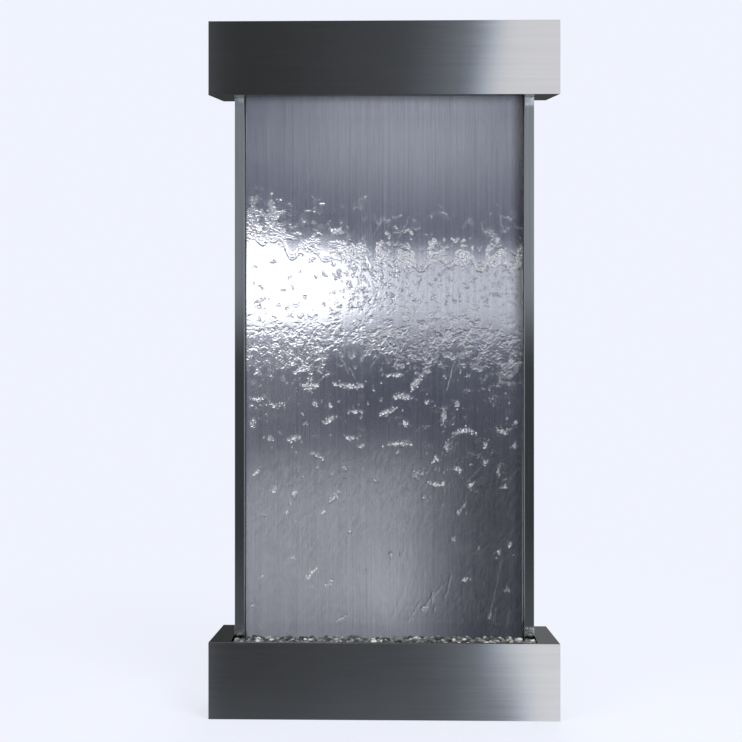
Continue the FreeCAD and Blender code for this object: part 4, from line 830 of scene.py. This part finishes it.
pale_floor()


def soft_card(name, sheets, mirror, receivers, paint, solid=(), once=False):
    """See-through glowing cards. Only the receivers mirror them. paint gets u (to the right) and v (down) of the
    spot on the mirroring face, worked out from the place behind that face where the onlooker's mirror image stands."""
    mesh = bpy.data.meshes.new(name)
    mesh.from_pydata([p for sheet in sheets for p in sheet], [], [tuple(range(k * 4, k * 4 + 4)) for k in range(len(sheets))])
    mesh.update()
    card = bpy.data.objects.new(name, mesh)
    scene.collection.objects.link(card)
    material = bpy.data.materials.new(name)
    material.use_nodes = True
    tree = material.node_tree
    for node in list(tree.nodes):
        tree.nodes.remove(node)
    g = Graph(tree)
    px, py, pz = g.split(g.where())
    reach = g.math("DIVIDE", 1198.8, g.math("SUBTRACT", mirror, py))
    u = g.plus(393.2, g.times(g.plus(px, -CAM_X), reach))
    v = g.plus(319.0, g.times(g.plus(pz, -CAM_Z), reach, -1.0))
    red, green, blue = paint(g, u, v)
    colour = g.add("ShaderNodeCombineXYZ")
    for socket, value in zip(colour.inputs, (red, green, blue)):
        g.put(socket, value)
    glow = g.add("ShaderNodeEmission")
    g.put(glow.inputs["Color"], colour.outputs[0])
    if once:
        # a mirror image of the wet panel in another piece of steel stays dull
        glossy = g.add("ShaderNodeLightPath").outputs["Glossy Depth"]
        g.put(glow.inputs["Strength"], g.span(glossy, 1.4, 1.6, 1.0, 0.15))
    through = g.add("ShaderNodeBsdfTransparent")
    if solid:
        # light on its way from the receivers stops here, other light passes
        both = g.add("ShaderNodeMixShader")
        path = g.add("ShaderNodeLightPath")
        g.put(both.inputs[0], g.times(*[path.outputs[kind] for kind in solid]))
        g.put(both.inputs[1], through.outputs[0])
        g.put(both.inputs[2], glow.outputs[0])
    else:
        both = g.add("ShaderNodeAddShader")
        g.put(both.inputs[0], glow.outputs[0])
        g.put(both.inputs[1], through.outputs[0])
    out = g.add("ShaderNodeOutputMaterial")
    g.put(out.inputs["Surface"], both.outputs[0])
    card.data.materials.append(material)
    card.visible_camera = False
    card.visible_diffuse = False
    card.visible_shadow = False
    group = bpy.data.collections.new(name + "_receivers")
    scene.collection.children.link(group)
    for obj in receivers:
        group.objects.link(obj)
    card.light_linking.receiver_collection = group
    return card


def upright_sheet(x, y, z0, z1):
    return [(-x, y, z0), (-x, y, z1), (x, y, z1), (x, y, z0)]


def paint_wet(g, u, v):
    """Soft lights in the wet panel: grey above, a white glow on the left at eye level, a grey field low on the left."""
    right_low = g.times(g.step(u, 400.0, 500.0), g.step(v, 380.0, 500.0))
    ground = g.plus(g.step(v, 300.0, 400.0, 0.105, 0.063), g.times(right_low, -0.034))
    top = g.times(
        g.plus(0.020, g.times(g.window(u, 210.0, 380.0, 425.0, 625.0), 0.138)),
        g.step(v, 135.0, 250.0, 1.0, 0.0),
    )
    under_hood = g.step(v, 93.0, 106.0, 0.22, 1.0)
    # its upper edge falls from left to right and hangs down in tongues
    fall = g.plus(
        g.span(u, 247.0, 345.0, 0.0, 25.0),
        g.times(g.window(u, 280.0, 291.0, 293.0, 304.0), 11.0),
        g.times(g.window(u, 360.0, 369.0, 373.0, 382.0), 11.0),
        g.times(g.window(u, 466.0, 476.0, 484.0, 494.0), 9.0),
        g.times(g.window(u, 312.0, 322.0, 328.0, 338.0), -5.0),
    )
    down = g.math("SUBTRACT", v, fall)
    rise = g.plus(down, g.step(u, 270.0, 340.0, 0.0, 7.0))
    band = g.times(g.step(rise, 220.0, 246.0), g.step(v, 302.0, 366.0, 1.0, 0.0), g.plus(0.41, g.step(u, 400.0, 520.0, 0.0, -0.03)))
    hot_right = g.plus(u, g.span(v, 262.0, 318.0, 0.0, 22.0))
    hot = g.times(g.step(down, 229.0, 243.0), g.step(v, 302.0, 337.0, 1.0, 0.0), g.step(hot_right, 318.0, 402.0, 1.0, 0.0), g.step(u, 80.0, 200.0), 1.40)
    left_mid = g.times(g.window(v, 320.0, 372.0, 396.0, 450.0), g.step(u, 262.0, 375.0, 1.0, 0.0), 0.085)
    left_low = g.times(g.step(v, 405.0, 520.0), g.step(v, 585.0, 640.0, 1.0, 0.68), g.step(u, 378.0, 482.0, 1.0, 0.0), 0.183)
    spot = g.times(g.window(u, 345.0, 385.0, 392.0, 430.0), g.window(v, 520.0, 585.0, 595.0, 640.0), 0.09)
    # beyond the panel's own mirror image, for the ripples: bright above and to the left, dark below
    above = g.times(g.window(v, -230.0, -110.0, -50.0, 40.0), g.window(u, -60.0, 120.0, 650.0, 830.0), 0.60)
    left = g.times(g.window(u, -30.0, 50.0, 110.0, 190.0), g.window(v, 60.0, 160.0, 420.0, 560.0), 0.8)
    below = g.step(v, 690.0, 800.0, 1.0, 0.12)
    lights = g.times(g.plus(g.times(top, under_hood), band, hot, left_mid, left_low, spot, above, left), below, 1.9)
    shadow = g.times(ground, under_hood, below, 1.9)
    return (
        g.plus(g.times(lights, 1.03), g.times(shadow, 0.94)),
        g.plus(g.times(lights, 0.985), g.times(shadow, 0.945)),
        g.plus(g.times(lights, 0.982), g.times(shadow, 1.23)),
    )


def paint_rails(g, u, v):
    """Grey above eye level, near black below, a little lighter at the foot."""
    level = g.plus(g.step(v, 285.0, 365.0, 0.27, 0.02), g.step(v, 520.0, 620.0, 0.0, 0.055), g.times(g.step(u, 420.0, 480.0), g.step(v, 285.0, 340.0, 0.06, 0.0)))
    return g.times(level, 0.94), level, g.times(level, 1.05)


def paint_sheet(g, u, v):
    """A bright wall to the right of hood and tray, with a bluish shade before it; near black on the left."""
    high = g.step(v, 300.0, 420.0, 1.0, 0.0)
    low = g.math("SUBTRACT", 1.0, high)
    hood_edge = g.span(v, 10.0, 95.0, 498.0, 479.0)
    tray_edge = g.span(v, 646.0, 680.0, 492.0, 523.0)
    edge = g.plus(g.times(hood_edge, high), g.times(tray_edge, low))
    off = g.math("SUBTRACT", u, edge)
    shade_in = g.plus(
        g.times(high, 0.008),
        g.step(u, 230.0, 420.0, 0.0, 0.042),
        g.step(off, -95.0, 0.0, 0.0, 0.16),
        g.step(u, 190.0, 222.0, 0.10, 0.0),
        g.times(low, 0.017),
        g.step(v, 700.0, 722.0, 0.0, 0.07),
    )
    bright = [g.step(off, -17.0 + k, 17.0 + k, 0.0, level) for k, level in ((1.8, 0.815), (0.0, 0.785), (-2.2, 0.770))]
    return (
        g.plus(g.times(shade_in, 0.88), bright[0]),
        g.plus(g.times(shade_in, 0.98), bright[1]),
        g.plus(g.times(shade_in, 1.12), bright[2]),
    )


WET = (film, glass, SHOWN["backing_plate"])
soft_card("wet_card", [upright_sheet(2.6, -3.3, -2.2, 4.2)], 3.157, WET, paint_wet, once=True)
soft_card(
    "wet_strips",
    [
        upright_sheet(0.42, -0.0615, 1.5640, 1.612),
        [(-0.380, -0.0900, 0.1946), (-0.3625, 0.0116, 0.1946), (0.3625, 0.0116, 0.1946), (0.380, -0.0900, 0.1946)],
        upright_sheet(0.36, 0.0116, 0.1600, 0.1946),
    ],
    3.157,
    WET,
    lambda g, u, v: [g.plus(tone, 0.040) for tone in paint_wet(g, u, v)],
    solid=("Is Transmission Ray",),
    once=True,
)
soft_card("rail_card", [upright_sheet(2.2, -3.32, -0.9, 2.6)], 3.097, (SHOWN["side_rail_left"], SHOWN["side_rail_right"]), paint_rails)
soft_card(
    "rail_strips",
    [
        [(side * 0.360, -0.0605, 1.5840), (side * 0.360, -0.0605, 1.6120), (side * 0.400, -0.0605, 1.6120), (side * 0.400, -0.0605, 1.5840)]
        for side in (-1, 1)
    ]
    + [
        [(side * 0.360, -0.0110, 1.5866), (side * 0.395, -0.0110, 1.5866), (side * 0.405, -0.0885, 1.5796), (side * 0.360, -0.0885, 1.5796)]
        for side in (-1, 1)
    ]
    + [
        [(side * 0.362, -0.0900, 0.1948), (side * 0.362, -0.0098, 0.1948), (side * 0.389, -0.0098, 0.1948), (side * 0.398, -0.0900, 0.1948)]
        for side in (-1, 1)
    ],
    3.097,
    (SHOWN["side_rail_left"], SHOWN["side_rail_right"]),
    lambda g, u, v: [g.times(tone, 0.80) for tone in paint_rails(g, u, v)],
)
soft_card(
    "sheet_card",
    [upright_sheet(4.0, -3.34, -2.6, 4.4)],
    2.937,
    [SHOWN[n] for n in SHOWN if n == "hood_shell" or n.startswith("tray_")],
    paint_sheet,
)


def paint_rear(g, u, v):
    """A broad soft light behind the wall, brightest high on one side."""
    level = g.plus(0.10, g.times(g.window(u, 40.0, 330.0, 380.0, 690.0), g.step(v, 80.0, 700.0, 0.62, 0.20)))
    return g.times(level, 0.97), level, g.times(level, 1.04)


front_sheets = [n for n in SHOWN if n == "hood_shell" or (n.startswith("tray_") and n != "tray_back")]
soft_card("rear_card", [upright_sheet(4.0, 3.30, -2.6, 4.4)], 9.756, [obj for n, obj in SHOWN.items() if n not in front_sheets], paint_rear)


def area(name, place, aim, size, power, glossy=False):
    data = bpy.data.lights.new(name, "AREA")
    data.shape = "RECTANGLE"
    data.size, data.size_y = size
    data.energy = power
    data.color = (1.0, 0.99, 0.98)
    obj = bpy.data.objects.new(name, data)
    obj.location = place
    obj.rotation_euler = (Vector(aim) - Vector(place)).to_track_quat("-Z", "Y").to_euler()
    obj.visible_camera = False
    obj.visible_glossy = glossy
    obj.visible_transmission = glossy
    scene.collection.objects.link(obj)
    return obj


area("key", (1.7, -2.3, 2.9), (0.0, 0.0, 0.8), (1.8, 1.8), 85.0)
area("fill", (-1.9, -2.0, 2.3), (0.0, 0.0, 0.8), (2.0, 2.0), 40.0)
area("rear", (0.4, 2.6, 2.6), (0.0, 0.0, 0.9), (2.2, 1.6), 55.0)

scene.cycles.max_bounces = 16
scene.cycles.transmission_bounces = 14
scene.cycles.glossy_bounces = 8
scene.cycles.transparent_max_bounces = 16
scene.cycles.use_denoising = True
